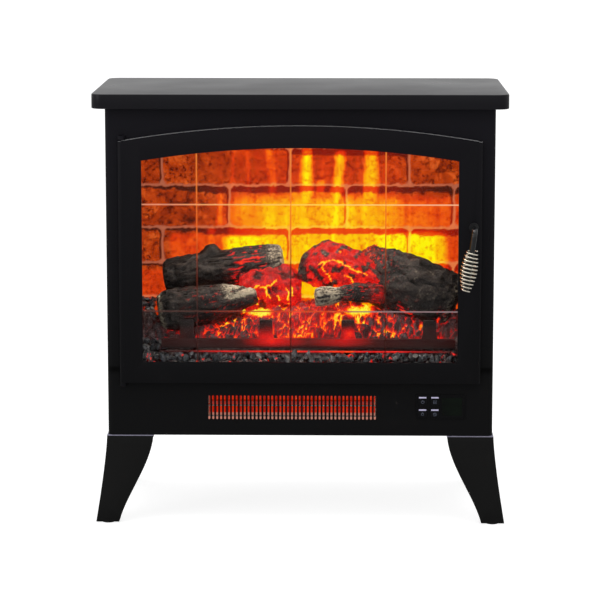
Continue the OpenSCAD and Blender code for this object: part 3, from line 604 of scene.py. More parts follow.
# %% [markdown]
# ## Charred and glowing resin
# Logs, embers and coals are moulded in translucent resin and painted, leaving some places thin so
# that the lamp below shines through as red heat and yellow cracks. One material serves them all. It
# reads two numbers from each point: tone, from black char to pale torn wood, and ember, from no
# glow over red and orange to yellow.

# %% Resin
def lit_resin(name, chars, grain_mm, rough, gloss=0.25):
    material, tree, shader = start_material(name, Specular_IOR_Level=gloss, IOR=1.5,
        Emission_Strength=1.0)
    place = node(tree, "TexCoord").outputs["Object"]
    tone_in = node(tree, "Attribute", attribute_name="tone").outputs["Fac"]
    ember_in = node(tree, "Attribute", attribute_name="ember").outputs["Fac"]
    fleck = node(tree, "TexNoise", {"Vector": place,
        "Scale": 1000 / grain_mm, "Detail": 5.0, "Roughness": 0.65})
    shift = node(tree, "MapRange", {"Value": fleck,
        "From Min": 0.3, "From Max": 0.7, "To Min": -0.22, "To Max": 0.22})
    toned = node(tree, "Math", {0: tone_in, 1: shift}, operation="ADD")
    skin = node(tree, "ValToRGB", {"Fac": toned}, stops=chars)
    heat = node(tree, "MapRange", {"Value": fleck,
        "From Min": 0.3, "From Max": 0.7, "To Min": 0.80, "To Max": 1.12})
    warm = node(tree, "Math", {0: ember_in, 1: heat}, operation="MULTIPLY")
    fire = node(tree, "ValToRGB", {"Fac": warm},
        stops=[(0.04, "#000000"), (0.22, "#3a0603"), (0.40, "#a20a08"), (0.56, "#e61410"),
        (0.70, "#ff4a04"), (0.84, "#ffb400"), (0.98, "#fff43c")])
    gloss_out = node(tree, "MapRange", {"Value": fleck,
        "From Min": 0.3, "From Max": 0.7, "To Min": rough + 0.1, "To Max": rough - 0.12})
    bump = node(tree, "Bump", {"Height": fleck, "Strength": 0.6, "Distance": 0.0006})
    sooty = node(tree, "MapRange", {"Value": warm,
        "From Min": 0.15, "From Max": 0.50, "To Min": 1.0, "To Max": 0.08})
    body = node(tree, "Mix", {"Factor": 1.0, 6: skin,
        7: sooty}, data_type="RGBA", blend_type="MULTIPLY")
    join(shader, Base_Color=body, Emission_Color=fire, Roughness=gloss_out, Normal=bump)
    return material


log_resin = lit_resin("painted_log_resin", [(0.15, "#100e0d"), (0.40, "#241f1d"),
    (0.62, "#423a34"),
    (0.90, "#a89f8a")], 3.0, 0.6)
ember_resin = lit_resin("painted_ember_resin", [(0.1, "#0e0c0d"), (0.5, "#3a3233"),
    (0.9, "#7a6e70")],
    2.4, 0.5)
coal_resin = lit_resin("painted_coal_resin", [(0.1, "#0e0f11"), (0.5, "#2a2d31"),
    (0.9, "#6a7078")],
    2.0, 0.42, 0.5)


# %% [markdown]
# ## Logs
# A log is a cylinder that tapers, bends and wears a rough skin. It starts as a cylinder along X
# with its sides cut into rings and its ends inset. The skin is then moved in and out by noise whose
# grain is long along the wood, and the same noise sets how dark or how hot each point is, so that a
# glow sits in the bottom of its crack.

# %% Log maker
def log_blank(name, length, rings=90, sides=84):
    """A cylinder of radius 1 along X, with rings along it and insets in its ends."""
    alone(None)
    bpy.ops.mesh.primitive_cylinder_add(vertices=sides, radius=1, depth=length,
        location=(length / 2, 0, 0), rotation=(0, math.pi / 2, 0))
    log = named(name)
    pick(log, "EDGE", lambda middle, along: abs(along.x) > 0.5 * length)
    bpy.ops.mesh.subdivide(number_cuts=rings)
    for end in (0, length):
        pick(log, "FACE", lambda middle, normal: abs(normal.x) > 0.9
            and abs(middle.x - end) < 1e-4)
        for ring in range(7):
            bpy.ops.mesh.inset(thickness=0.13)
        bpy.ops.mesh.poke()
    bpy.ops.object.mode_set(mode="OBJECT")
    return log


def shape_log(log, line, radii, flat=1.0, ridge=0.0022, knobs=(), round_end=0.35, seed=1.0,
        lump=0.0030):
    """Bends the blank along a line of points in mm, gives it its radii, and roughens its skin.
    Returns its points, and for each point its place along the log, its turn, its ridges and its
    place in a frame round the log."""
    co = points(log)
    length = co[:, 0].max()
    u = co[:, 0] / length
    radius_in = np.hypot(co[:, 1], co[:, 2])
    turn = np.arctan2(co[:, 2], co[:, 1])
    line, radii = np.array(line, float) * MM, np.array(radii, float) * MM
    knots = np.linspace(0, 1, len(line))
    centre = np.stack([np.interp(u, knots, line[:, i]) for i in range(3)], 1)
    size = np.interp(u, np.linspace(0, 1, len(radii)), radii)
    edge = np.minimum(u, 1 - u) * length
    to_end = 1 - np.clip(edge / (0.6 * size), 0, 1)
    size *= 1 - round_end * (1 - np.sqrt(np.clip(1 - to_end ** 2, 0, 1)))
    around = np.stack([u * length, np.cos(turn) * size * 1.6, np.sin(turn) * size * 1.6], 1)
    ridges = 1 - 2 * np.abs(grain(around, (0.050, 0.0085, 0.0085), seed, 3))
    lumps = grain(around, 0.028, seed + 4, 2)
    breaks = grain(around, (0.010, 0.030, 0.030), seed + 8, 2)
    skin = ridge * (ridges - 0.4) + lump * lumps - 0.0012 * np.maximum(-breaks, 0)
    for where, angle, reach, height in knobs:
        ahead = (u - where) * length / reach
        aside = np.angle(np.exp(1j * (turn - angle))) * size / reach
        near = ahead ** 2 + aside ** 2
        skin = skin + height * np.exp(-near ** 2)
    axis = line[-1] - line[0]
    axis /= np.linalg.norm(axis)
    side = np.cross(axis, [0, 0, 1.0]) * -1
    side /= np.linalg.norm(side)
    up = np.cross(side, axis) * -1
    up *= np.sign(up[2])
    wide = radius_in * size + skin * ease(radius_in, 0.5, 1.0)
    co = centre + side * (np.cos(turn) * wide * flat)[:, None]
    co = co + up * (np.sin(turn) * wide)[:, None]
    rough_end = (grain(co, 0.006, seed + 2, 2) * 0.0014 * (1 - ease(radius_in, 0.9, 1.0)))
    co += axis * (rough_end * np.where(u < 0.5, -1, 1))[:, None]
    set_points(log, co)
    outward(log)
    return points(log), u, turn, ridges, around


def place_of(depth_mm):
    """Distance behind the cabinet's face as a y in the frame, in mm."""
    return face_y * 1000 + depth_mm


# %% Model the logs
def finish_log(log, tone, ember, slot, cad_node):
    paint(log, "tone", np.clip(tone, 0, 1))
    paint(log, "ember", np.clip(ember, 0, 1.1))
    smooth(log, 70)
    fit(log, log_resin, "cabinet", slot, cad_node)


def veins(spots, paths, width, seed):
    """Nearness, from 0 to 1, to cracks drawn as lines of (x, z) points in mm on a log's front."""
    x = spots[:, 0] * 1000 + 1.6 * grain(spots, 0.009, seed, 2)
    z = spots[:, 2] * 1000 + 1.6 * grain(spots, 0.009, seed + 5, 2)
    near = np.full(len(x), 99.0)
    for path in paths:
        for (ax, az), (bx, bz) in zip(path[:-1], path[1:]):
            t = np.clip(((x - ax) * (bx - ax) + (z - az) * (bz - az))
                / ((bx - ax) ** 2 + (bz - az) ** 2), 0, 1)
            near = np.minimum(near, np.hypot(x - ax - t * (bx - ax), z - az - t * (bz - az)))
    return 1 - ease(near, 0.45 * width, width)


# the charred log at the back left, with a broken branch on top and its right end sawn off
log = log_blank("log_rear_left_charred", 0.182)
y = place_of(112)
spots, u, turn, ridges, around = shape_log(
    log, [(-208, y, 353), (-160, y, 363), (-100, y - 2, 370), (-28, y - 6, 383)],
    [25, 27, 26, 28, 24],
    0.85, 0.0026, [(0.495, 1.50, 0.0105, 0.013), (0.42, 1.45, 0.006, 0.005)], 0.22, 1.0)
end = ease(u, 0.985, 1.0)
tone = 0.27 + 0.20 * ridges + 0.06 * grain(spots, 0.02, 1) + 0.36 * end
tone = tone + 0.26 * ease(u, 0.86, 0.93)
grain_lines = 1 - np.abs(grain(around, (0.060, 0.006, 0.006), 12, 2)) * 5
ember = ease(grain_lines, 0.25, 0.8) * ease(u, 0.50, 0.72) * (1 - ease(u, 0.87, 0.92)) * 0.64
finish_log(log, tone, ember, "log_char", "log_rear_left")

# the bark log in front of it, pale at its left rim and torn open at its right tip
log = log_blank("log_front_left_bark", 0.146)
y = place_of(66)
spots, u, turn, ridges, around = shape_log(
    log, [(-214, y, 309), (-180, y, 313), (-125, y, 323), (-66, y + 4, 333)],
    [28, 32, 31, 28, 22, 12],
    0.8, 0.0022, (), 0.26, 3.0)
rim = np.exp(-((u - 0.045) / 0.045) ** 2)
split_line = veins(spots, [[(-104, 342), (-86, 346)]], 2.6, 3)
torn = ease(u, 0.66, 0.80) * ease(np.sin(turn), -0.05, 0.45) * (1 - 0.7 * split_line)
tone = 0.32 + 0.16 * ridges + 0.08 * grain(spots, 0.015, 2) + 0.40 * rim + 0.46 * torn
# painted shade: the log's underside is painted darker from its middle to its right
tone = tone - 0.34 * ease(-np.sin(turn), 0.05, 0.7) * ease(u, 0.35, 0.65)
grain_lines = 1 - np.abs(grain(around, (0.045, 0.007, 0.007), 14, 2)) * 6
ember = 0.44 * ease(grain_lines, 0.60, 0.95) * ease(u, 0.20, 0.5)
# painted shade: the underside also gets a dim painted red glow, as the embers below light it
ember = np.maximum(ember * (1 - torn), 0.17 * ease(-np.sin(turn), 0.2, 0.7) * ease(u, 0.45, 0.75))
finish_log(log, tone, ember, "log_bark", "log_front_left")

# the burning heart between the left logs: crimson, with a few yellow cracks
log = log_blank("log_glowing_left_embered", 0.094)
y = place_of(88)
spots, u, turn, ridges, around = shape_log(
    log, [(-94, y, 340), (-50, y, 342), (0, y + 4, 338)], [27, 31, 33, 27],
    0.7, 0.0020, (), 0.30, 5.0, 0.0065)
speckle = cells(around, 0.007, 8.0)
ember = 0.50 + 0.13 * grain(spots, 0.010, 6) + 0.10 * (1 - ease(speckle, 0.0, 0.1))
ring = [(-62 + 12 * math.cos(a), 338 + 10 * math.sin(a)) for a in np.linspace(-0.6, 4.6, 12)]
cracks = [ring, [(-68, 350), (-58, 347), (-46, 349), (-38, 356)],
    [(-46, 349), (-44, 340), (-36, 334), (-32, 325)],
    [(-52, 338), (-46, 330)], [(-22, 344), (-18, 336), (-20, 326)], [(-14, 346), (-12, 332)],
    [(-70, 326), (-66, 318)], [(-60, 310), (-40, 314), (-18, 320)]]
ember = np.maximum(ember, 0.95 * veins(spots, cracks, 2.1, 40))
ember = ember * (1 - 0.5 * ease(grain(spots, 0.016, 9, 2), 0.25, 0.5))
finish_log(log, 0.2 + 0 * u, ember, "log_glow", "log_glowing_left")

# the glowing log that leans to the right, charred at its left end, with one long yellow crack
log = log_blank("log_glowing_right_embered", 0.130)
y = place_of(86)
spots, u, turn, ridges, around = shape_log(
    log, [(-3, y, 374), (32, y, 381), (74, y, 368), (126, y - 4, 346)], [20, 33, 36, 32, 20],
    0.7, 0.0024, (), 0.26, 7.0, 0.0060)
speckle = cells(around, 0.009, 9.0)
char = ease(grain(spots, 0.014, 9, 2), 0.12, 0.36)
ember = (0.53 + 0.10 * grain(spots, 0.010, 4)) * (1 - 0.70 * char)
ember = ember * (1 - 0.62 * ease(-u, -0.15, -0.03))
ember = ember + 0.10 * (1 - ease(speckle, 0, 0.12)) * (1 - char)
cracks = [[(26, 383), (38, 387), (50, 390), (66, 381), (84, 373), (100, 366)],
    [(38, 387), (32, 378), (42, 364), (46, 356)],
    [(58, 402), (64, 396)], [(66, 366), (76, 362), (78, 352)], [(52, 348), (66, 340), (74, 334)]]
ember = np.maximum(ember, 0.93 * veins(spots, cracks, 2.0, 50))
finish_log(log, 0.30 + 0.25 * char, ember, "log_glow", "log_glowing_right")

# the short stick in front: a pale dry end on the left that turns to char and heat on the right
log = log_blank("stick_front_dry", 0.098, 60, 60)
y = place_of(48)
spots, u, turn, ridges, around = shape_log(
    log, [(22, y, 335), (50, y, 338), (80, y, 342), (124, y + 16, 337)], [15, 12, 11.5, 14, 17],
    0.75, 0.0014, (), 0.22, 9.0)
tone = 0.80 - 0.46 * ease(u, 0.30, 0.62) + 0.24 * (ridges - 0.4)
tone = tone - 0.5 * veins(spots, [[(26, 336), (44, 337)]], 1.8, 4)
grain_lines = 1 - np.abs(grain(around, (0.05, 0.005, 0.005), 21, 2)) * 5
ember = 0.60 * ease(grain_lines, 0.5, 0.95) * ease(u, 0.34, 0.55)
ember = np.maximum(ember, (0.26 + 0.14 * grain(spots, 0.008, 33)) * ease(u, 0.66, 0.88))
finish_log(log, tone, ember, "log_bark", "stick_front")

# the big charred log on the right
log = log_blank("log_right_charred", 0.166, 100, 100)
y = place_of(80)
spots, u, turn, ridges, around = shape_log(
    log, [(84, y + 30, 374), (120, y + 18, 360), (170, y + 4, 338), (233, y, 318)],
    [24, 38, 45, 50, 51, 47], 0.68, 0.0026, [(0.10, 1.4, 0.012, 0.005)], 0.22, 11.0, 0.0045)
bark = cells(around, (0.012, 0.007, 0.007), 2.0)
tone = 0.27 + 0.20 * ridges + 0.10 * ease(bark, 0.05, 0.4) + 0.10 * grain(spots, 0.015, 3)
tone = tone + 0.20 * ease(u, 0.93, 0.98)
glint = ease(1 - np.abs(grain(around, (0.03, 0.006, 0.006), 24, 2)) * 6, 0.50, 0.95)
ember = 0.62 * glint * (1 - ease(u, 0.20, 0.75))
ember = ember + 0.32 * (1 - ease(u, 0.05, 0.50)) * (0.7 + 0.5 * ridges)
ember = ember + 0.52 * glint * ease(grain(spots, 0.03, 31), 0.05, 0.25) * ease(-spots[:, 2],
    -0.345, -0.315)
cracks = [[(208, 303), (205, 296), (209, 288), (218, 285), (228, 288)],
    [(128, 302), (146, 286), (166, 281)],
    [(150, 314), (166, 308)]]
ember = np.maximum(ember, 0.72 * veins(spots, cracks, 2.4, 60))
finish_log(log, tone, ember, "log_char", "log_right")

# %% [markdown]
# ## Ember bed
# Under the logs lies one moulded sheet of broken embers, thin in its cracks so the lamp board under
# it shines through. A grid of points takes the bed's slope, then lumps with cracks between them. It
# heaps up under the logs, where the fire is hottest, and turns grey towards the front.

# %% Ember bed
BED_LINE = ([5, 40, 90, 146], [236, 241, 247, 262])        # depth and height of the sheet, in mm
HEAP_LINE = ([-240, -190, -114, -60, 0, 60, 131, 190, 235], [50, 40, 46, 60, 70, 70, 60, 48, 58])
low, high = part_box("ember_bed")
alone(None)
bpy.ops.mesh.primitive_grid_add(x_subdivisions=270, y_subdivisions=150, size=1,
    location=((low.x + high.x) / 2, (low.y + high.y) / 2, low.z + 0.02))
bpy.context.object.scale = (high.x - low.x, high.y - low.y, 1)
bed = named("ember_bed_moulded")
spots = points(bed)
depth = spots[:, 1] * 1000 - face_y * 1000
x = spots[:, 0] * 1000
base = np.interp(depth, *BED_LINE)
heap = np.interp(x, *HEAP_LINE) * ease(depth, 34, 64) * ease(-depth, -146, -92)
flat = np.stack([x, 1.2 * depth + 0.9 * heap, 0 * x], 1) * MM
bent = flat + np.stack([grain(flat, 0.02, 40) * 0.006, grain(flat, 0.02, 44) * 0.006, 0 * x], 1)
lump = cells(bent, (0.017, 0.020, 1), 4.0)
crumb = cells(bent, (0.007, 0.009, 1), 6.0)
height = base + heap + 7.0 * ease(lump, 0.0, 0.40) + 2.2 * ease(crumb, 0, 0.4)
height = height + 3.0 * grain(flat, 0.03, 50)
spots[:, 2] = np.maximum(height, 231) * MM
set_points(bed, spots)
hot = np.interp(x, [-240, -190, -140, -70, -40, 60, 90, 150, 200, 235],
    [0.2, 0.5, 0.92, 0.95, 1, 1, 0.95, 0.95, 0.85, 0.5])
hot *= ease(depth, 26, 44)
hot = np.maximum(hot, 0.16)
crack = 1 - ease(lump, 0.01, 0.125)
thread = 1 - ease(crumb, 0.0, 0.13)
red = np.exp(-((x - 5) / 75) ** 4)
clear = ease(depth, 44, 50)
crack = crack * (0.92 + 0.55 * grain(flat, 0.016, 77, 2))
glow = 0.12 + 0.22 * red + (0.76 - 0.18 * red) * crack + 0.34 * thread * (1 - crack)
ember = hot * clear * glow
spark = ease(grain(flat, 0.012, 60, 2), 0.34, 0.48) * (1 - ease(depth, 26, 40)) * 0.62
ember = np.maximum(ember, spark)
# places where the flame light comes straight out from under the logs
for middle, reach, height_at, tall in ((-62, 24, 309, 7), (88, 24, 311, 7), (7, 9, 344, 12)):
    near = np.exp(-((x - middle) / reach) ** 4 - ((height - height_at) / tall) ** 4)
    ember = np.maximum(ember, 1.06 * near * ease(depth, 46, 54))
ember = np.maximum(ember, 0.05)
# a yellow lip of flame along the middle of the bar
lip = np.exp(-((x + 3) / 32) ** 6 - ((height - 276 - 0.05 * x) / 3.2) ** 4)
ember = np.maximum(ember, 0.88 * lip * ease(depth, 42, 46) * (1 + 0.25 * grain(flat, 0.012, 79)))
paint(bed, "ember", np.clip(ember, 0, 1.1))
paint(bed, "tone", 0.44 + 0.22 * grain(flat, 0.008, 70) + 0.10 * ease(lump, 0.2, 0.6))
modify(bed, "SOLIDIFY", thickness=0.002, offset=-1)
smooth(bed, 60)
fit(bed, ember_resin, "cabinet", "ember_resin", "ember_bed")

# %% [markdown]
# ## Loose coals
# Grey-blue lumps lie along the front and down the left side. Coal breaks into flat faces with sharp
# edges, so a low sphere is pushed about in steps and copied with a different turn each time. A
# few are red hot underneath.

# %% Coals
alone(None)
bpy.ops.mesh.primitive_ico_sphere_add(subdivisions=3, radius=0.010, location=(0, 0, 0))
coal = named("coal_lump")
co = points(coal)
way = co / np.linalg.norm(co, axis=1, keepdims=True)
chips = np.array([[math.sin(7.3 * k), math.cos(5.1 * k), math.sin(3.7 * k + 1)]
    for k in range(14)])
chips /= np.linalg.norm(chips, axis=1, keepdims=True)
reach = np.min(np.where(way @ chips.T > 0.05, 0.80 / np.maximum(way @ chips.T, 0.05), 9), axis=1)
co = way * (0.010 * np.minimum(reach, 1.15) * (1 + 0.10 * grain(way, 0.35, 2)))[:, None]
set_points(coal, co)

coal_places = [(-239 + 6.7 * i, 8 + 4 * ((i * 5) % 4), 239 + 3 * ((i * 7) % 4)) for i in range(72)]
coal_places += [(-236 + 7.3 * i, 20 + 3 * ((i * 4) % 3), 246 + 2.0 * ((i * 5) % 3))
    for i in range(65)]
coal_places += [(-241 + 9 * (i % 5), 30 + 9 * (i // 5), 250 + 8 * (i // 5) + 4 * ((i * 3) % 3))
    for i in range(35)]
coal_places += [(-243 + 8 * (i % 3), 88 + 9 * (i // 3), 300 + 6 * (i // 3)) for i in range(12)]
coal_places += [(212 + 8 * (i % 3), 34 + 10 * (i // 3), 252 + 6 * (i // 3)) for i in range(9)]
lumps = []
for i, (x, depth, z) in enumerate(coal_places):
    copy = bpy.data.objects.new(f"coal_{i}", coal.data.copy())
    scene.collection.objects.link(copy)
    copy.rotation_euler = (1.7 * i, 2.3 * i, 0.9 * i)
    size = 0.40 + 0.32 * ((i * 11) % 7) / 6
    copy.scale = (1.25 * size, size, 0.8 * size)
    copy.location = (x * MM, face_y + depth * MM, z * MM)
    lumps.append(copy)
alone(lumps[0])
for copy in lumps:
    copy.select_set(True)
bpy.ops.object.join()
coals = named("loose_coal_lumps")
bpy.data.objects.remove(coal)
spots = points(coals)
paint(coals, "tone", 0.46 + 0.38 * grain(spots, 0.005, 3) + 0.16 * grain(spots, 0.02, 5))
spark = ease(grain(spots, 0.010, 80, 2), 0.30, 0.42)
spark = spark * ease(-grain(spots, 0.004, 81, 2), -0.15, 0.1)
paint(coals, "ember", 0.62 * spark * ease(grain(spots, 0.03, 90, 2), 0.0, 0.2))
smooth(coals, 28)
fit(coals, coal_resin, "cabinet", "coal", "loose_coals")

# %% [markdown]
# ## Grate
# The grate is a casting: a bar with flared posts. Sand casting leaves rounded edges and a grainy
# skin, and here the fire behind it lights its middle dull red. Its CAD shape is right, so a copy
# gets eased edges.

# %% Grate
iron = lit_resin("sand_cast_iron", [(0.1, "#0d0909"), (0.5, "#1d1514"), (0.9, "#352b2a")],
    1.5, 0.6)
grate = softened("fire_grate", "fire_grate_cast", 0.0012, 2, 30)
modify(grate, "SUBSURF", subdivision_type="SIMPLE", levels=3, render_levels=3)
spots = points(grate)
x, z = spots[:, 0] * 1000, spots[:, 2] * 1000
middle = np.exp(-((x - 15) / 105) ** 4)
foot = ease(-z, -306, -282) * ease(z, 258, 266)
paint(grate, "tone", 0.50 + 0.25 * grain(spots, 0.010, 4) + 0.12 * ease(z, 285, 300))
lick = 0.34 * np.exp(-((x + 40) / 26) ** 2) + 0.32 * np.exp(-((x - 71) / 26) ** 2) + 0.08 * middle
paint(grate, "ember", (lick + 0.12) * foot * (1 + 0.4 * grain(spots, 0.02, 5)))
fit(grate, iron, "cabinet", "grate_iron", "fire_grate")

# the red line of light that shines out from under the bar
alone(None)
bpy.ops.mesh.primitive_cube_add(size=1, location=(0.008, face_y + 0.026, 0.2562),
    scale=(0.436, 0.0030, 0.0022))
line = named("under_bar_glow")
pick(line, "EDGE", lambda middle, along: abs(along.x) > 0.1)
bpy.ops.mesh.bevel(offset=0.0007, segments=2, affect="EDGES")
bpy.ops.mesh.select_all(action="SELECT")
bpy.ops.object.mode_set(mode="OBJECT")
modify(line, "SUBSURF", subdivision_type="SIMPLE", levels=5, render_levels=5)
spots = points(line)
paint(line, "tone", np.full(len(spots), 0.3))
fade = np.exp(-((spots[:, 0] * 1000 - 20) / 200) ** 4)
paint(line, "ember", 0.60 * fade * (1 + 0.25 * grain(spots, 0.02, 6)))
line.data.materials.append(ember_resin)
fit(line, ember_resin, "cabinet", "ember_resin")

# %% [markdown]
# ## Door glass
# The glass is a clear toughened sheet with grooves engraved in its front, which give the look of
# small panes. A groove is a frosted V that gathers the firelight, so it reads as a soft line that
# is lighter than what lies behind. The sheet keeps its CAD shape; each groove is filled with a thin
# frosted strip, whose glow stands for the light that it gathers.

# %% Glass
# clear soda-lime glass with an anti-reflective coat: the coat takes most of the white mirror image
# away, so its index is set low
glass, tree, shader = start_material("coated_toughened_glass", IOR=1.12, Transmission_Weight=1.0,
    Roughness=0.0)
place = node(tree, "TexCoord").outputs["Object"]
haze = node(tree, "TexNoise", {"Vector": place, "Scale": 14.0, "Detail": 2.0})
tint = node(tree, "ValToRGB", {"Fac": haze}, stops=[(0.3, "#fbfbfb"), (0.7, "#ffffff")])
join(shader, Base_Color=tint)
dress(glass, "door_glass")

frosted, tree, shader = start_material("frosted_engraving", Base_Color=linear("#40302c"),
    Roughness=0.6, Alpha=0.55,
    Specular_IOR_Level=0.1, Emission_Strength=1.0)
place = node(tree, "TexCoord").outputs["Object"]
along = node(tree, "TexNoise", {"Vector": place, "Scale": 22.0, "Detail": 3.0})
split = node(tree, "SeparateXYZ", {"Vector": place})
side = node(tree, "MapRange", {"Value": split.outputs["X"], "From Min": -0.24, "From Max": 0.24,
    "To Min": 0.0, "To Max": 0.45})
rise = node(tree, "MapRange", {"Value": split.outputs["Z"], "From Min": 0.40, "From Max": 0.41,
    "To Min": 0.0, "To Max": 0.5})
wander = node(tree, "Math", {0: along, 1: 0.16, 2: -0.08}, operation="MULTIPLY_ADD")
sum_up = node(tree, "Math", {0: side, 1: rise}, operation="ADD")
mixed = node(tree, "Math", {0: sum_up, 1: wander}, operation="ADD")
gathered = node(tree, "ValToRGB", {"Fac": mixed},
    stops=[(0.0, "#30231f"), (0.12, "#4a2018"), (0.17, "#c02c0a"), (0.27, "#d84414"),
    (0.34, "#8c7476"), (0.46, "#85777c"),
    (0.55, "#f09468"), (0.75, "#ffd24a"), (0.92, "#f8b488")])
join(shader, Emission_Color=gathered)

# the upright grooves are finer, so they only tint what lies behind them
fine_frost, tree, shader = start_material("fine_frosted_engraving", Base_Color=linear("#301c18"),
    Roughness=0.6, Alpha=0.42,
    Specular_IOR_Level=0.1, Emission_Strength=1.0)
place = node(tree, "TexCoord").outputs["Object"]
along = node(tree, "TexNoise", {"Vector": place, "Scale": 22.0, "Detail": 3.0})
split = node(tree, "SeparateXYZ", {"Vector": place})
rise = node(tree, "MapRange", {"Value": split.outputs["Z"], "From Min": 0.25, "From Max": 0.57})
wander = node(tree, "Math", {0: along, 1: 0.2, 2: -0.1}, operation="MULTIPLY_ADD")
mixed = node(tree, "Math", {0: rise, 1: wander}, operation="ADD")
gathered = node(tree, "ValToRGB", {"Fac": mixed},
    stops=[(0.0, "#2c1210"), (0.30, "#341612"), (0.44, "#6a2410"), (0.58, "#f0641c"),
    (0.95, "#f88a34")])
join(shader, Emission_Color=gathered)

strip_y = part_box("door_glass")[0].y + 0.0003     # the grooves lie just inside the glass's face
WINDOW_HALF, WINDOW_LOW, WINDOW_HIGH = 0.2325, 0.247, 0.566     # the opening in the door's frame
ARCH_RISE = 0.019                # how much higher its head is in the middle than at its sides
UNDER = 0.004                    # how far a groove runs on behind the frame


def engraved(name, middle, size, frost):
    alone(None)
    bpy.ops.mesh.primitive_cube_add(size=1, location=middle, scale=size)
    strip = named(name)
    longest = 2 if size[2] > size[0] else 0
    pick(strip, "EDGE", lambda middle, along: abs(along[longest]) > 0.05 and middle.y < strip_y)
    bpy.ops.mesh.bevel(offset=0.0002, segments=1, affect="EDGES")
    bpy.ops.object.mode_set(mode="OBJECT")
    return fit(strip, frost, "door", "door_glass")


for i, x in enumerate((-0.152, -0.014, 0.1256)):
    top = WINDOW_HIGH - (x / WINDOW_HALF) ** 2 * ARCH_RISE + UNDER + 0.0005
    engraved(f"engraved_upright_{i}", (x + 0.0004, strip_y, (WINDOW_LOW - UNDER + top) / 2),
        (0.0023, 0.0005, top - WINDOW_LOW + UNDER), fine_frost)
for i, z in enumerate((0.323, 0.482)):
    engraved(f"engraved_level_{i}", (0, strip_y - 0.00005, z),
        (2 * (WINDOW_HALF + UNDER), 0.0004, 0.0022), frosted)

# %% [markdown]
# ## Handle and spring grip
# The handle is a bent steel rod with a coil of bright wire round its lower end, so that the hand
# never touches hot metal. A coil is a curve that follows a formula, given the wire's thickness and
# then made a mesh. The rod keeps its exact CAD shape.

# %% Handle
handle_paint = powder_coat("painted_steel_rod", "#0a0a0b", "#121214", 0.28, 0.45, 1.2, 0.00002)
dress(handle_paint, "handle_rod", "handle_washer")
# bright nickel plate on drawn spring wire: a soft mirror with a warm tint
nickel_wire = finish("nickel_plated_spring_wire", "#cfc8b8", "#e6dfd0", 0.20, 1.0, 1.0, (1, 1, 6),
    0.00002)

HANDLE = Vector((0.255, face_y, 0.4495))           # the stud's middle on the cabinet's face
LEAN = math.radians(8.3)
TURNS, WIRE = 11, 0.0022
coil = bpy.data.curves.new("grip_coil", "CURVE")
coil.dimensions = "3D"
coil.bevel_depth, coil.bevel_resolution, coil.use_fill_caps = WIRE / 2, 5, True
steps = TURNS * 32
line = coil.splines.new("POLY")
line.points.add(steps)
for i in range(steps + 1):
    u = i / steps
    radius = (0.0071 if u < 0.5 else 0.0054)
    radius += (0.0114 - radius) * math.sin(math.pi * u)
    turn = 2 * math.pi * TURNS * u
    spot = Vector((radius * math.cos(turn), radius * math.sin(turn) - 0.048, -0.0286 - 0.0608 * u))
    lean = Vector((spot.x * math.cos(LEAN) + spot.z * math.sin(LEAN), spot.y,
        -spot.x * math.sin(LEAN) + spot.z * math.cos(LEAN)))
    line.points[i].co = (*(HANDLE + lean), 1)
holder = bpy.data.objects.new("grip_coil_curve", coil)
scene.collection.objects.link(holder)
alone(holder)
bpy.ops.object.convert(target="MESH")
spring = named("spring_grip_coil")
smooth(spring, 50)
fit(spring, nickel_wire, "handle", "grip_nickel", "grip_spring")
print("coil box, mm:", [round(1000 * v, 1) for v in spring.dimensions])

# %% [markdown]
# ## Heater behind the slots
# Two quartz tubes glow orange-red in front of polished troughs. Quartz is clear and the filament
# lights it from within, so the tube is a glowing surface with a slightly uneven brightness. The
# troughs' mirror image of the tubes is painted on them as a red glow, and near the bottom a little
# of the room's light is painted on them as a pale glow.

# %% Heater glow
quartz, tree, shader = start_material("glowing_quartz_tube", Base_Color=linear("#401008"),
    Roughness=0.15, IOR=1.46, Emission_Strength=0.70)
place = node(tree, "TexCoord").outputs["Object"]
turns = node(tree, "TexWave", {"Vector": place, "Scale": 70.0,
    "Distortion": 0.6}, bands_direction="X")
hot_wire = node(tree, "ValToRGB", {"Fac": turns.outputs["Fac"]},
    stops=[(0.0, "#b01400"), (0.6, "#e02606"), (1.0, "#f04010")])
join(shader, Emission_Color=hot_wire)

trough, tree, shader = start_material("polished_aluminium_trough", Metallic=1.0, Roughness=0.22,
    Emission_Strength=1.0)
place = node(tree, "TexCoord").outputs["Object"]
split = node(tree, "SeparateXYZ", {"Vector": place})
streaks = node(tree, "TexNoise", {"Vector": place, "Scale": 60.0, "Detail": 3.0})
rise = node(tree, "MapRange", {"Value": split.outputs["Z"],
    "From Min": 0.156, "From Max": 0.198, "To Min": 0.0, "To Max": 1.0})
# painted reflection: the trough's glow is the tubes' red mirror image, with a pale painted catch of
# the room's light at the bottom
painted_reflection = node(tree, "ValToRGB", {"Fac": rise},
    stops=[(0.0, "#a06a5c"), (0.26, "#94503e"), (0.34, "#a81800"), (0.56, "#7a1000"),
    (0.8, "#a01800"), (1.0, "#600c00")])
skin = node(tree, "ValToRGB", {"Fac": streaks}, stops=[(0.3, "#6a6a6a"), (0.7, "#808080")])
join(shader, Base_Color=skin, Emission_Color=painted_reflection)
dress(quartz, "quartz_tubes")
dress(trough, "heat_reflector", "heater_housing")

# %% [markdown]
# ## Control panel
# A low glossy bezel holds four push buttons, each under a small lit bar, and a smoked display. The
# mouldings keep their CAD shapes with eased edges. Each button carries a small printed sign of its
# own, plain shapes that many heaters use: a broken ring, waves, a flame and a clock.

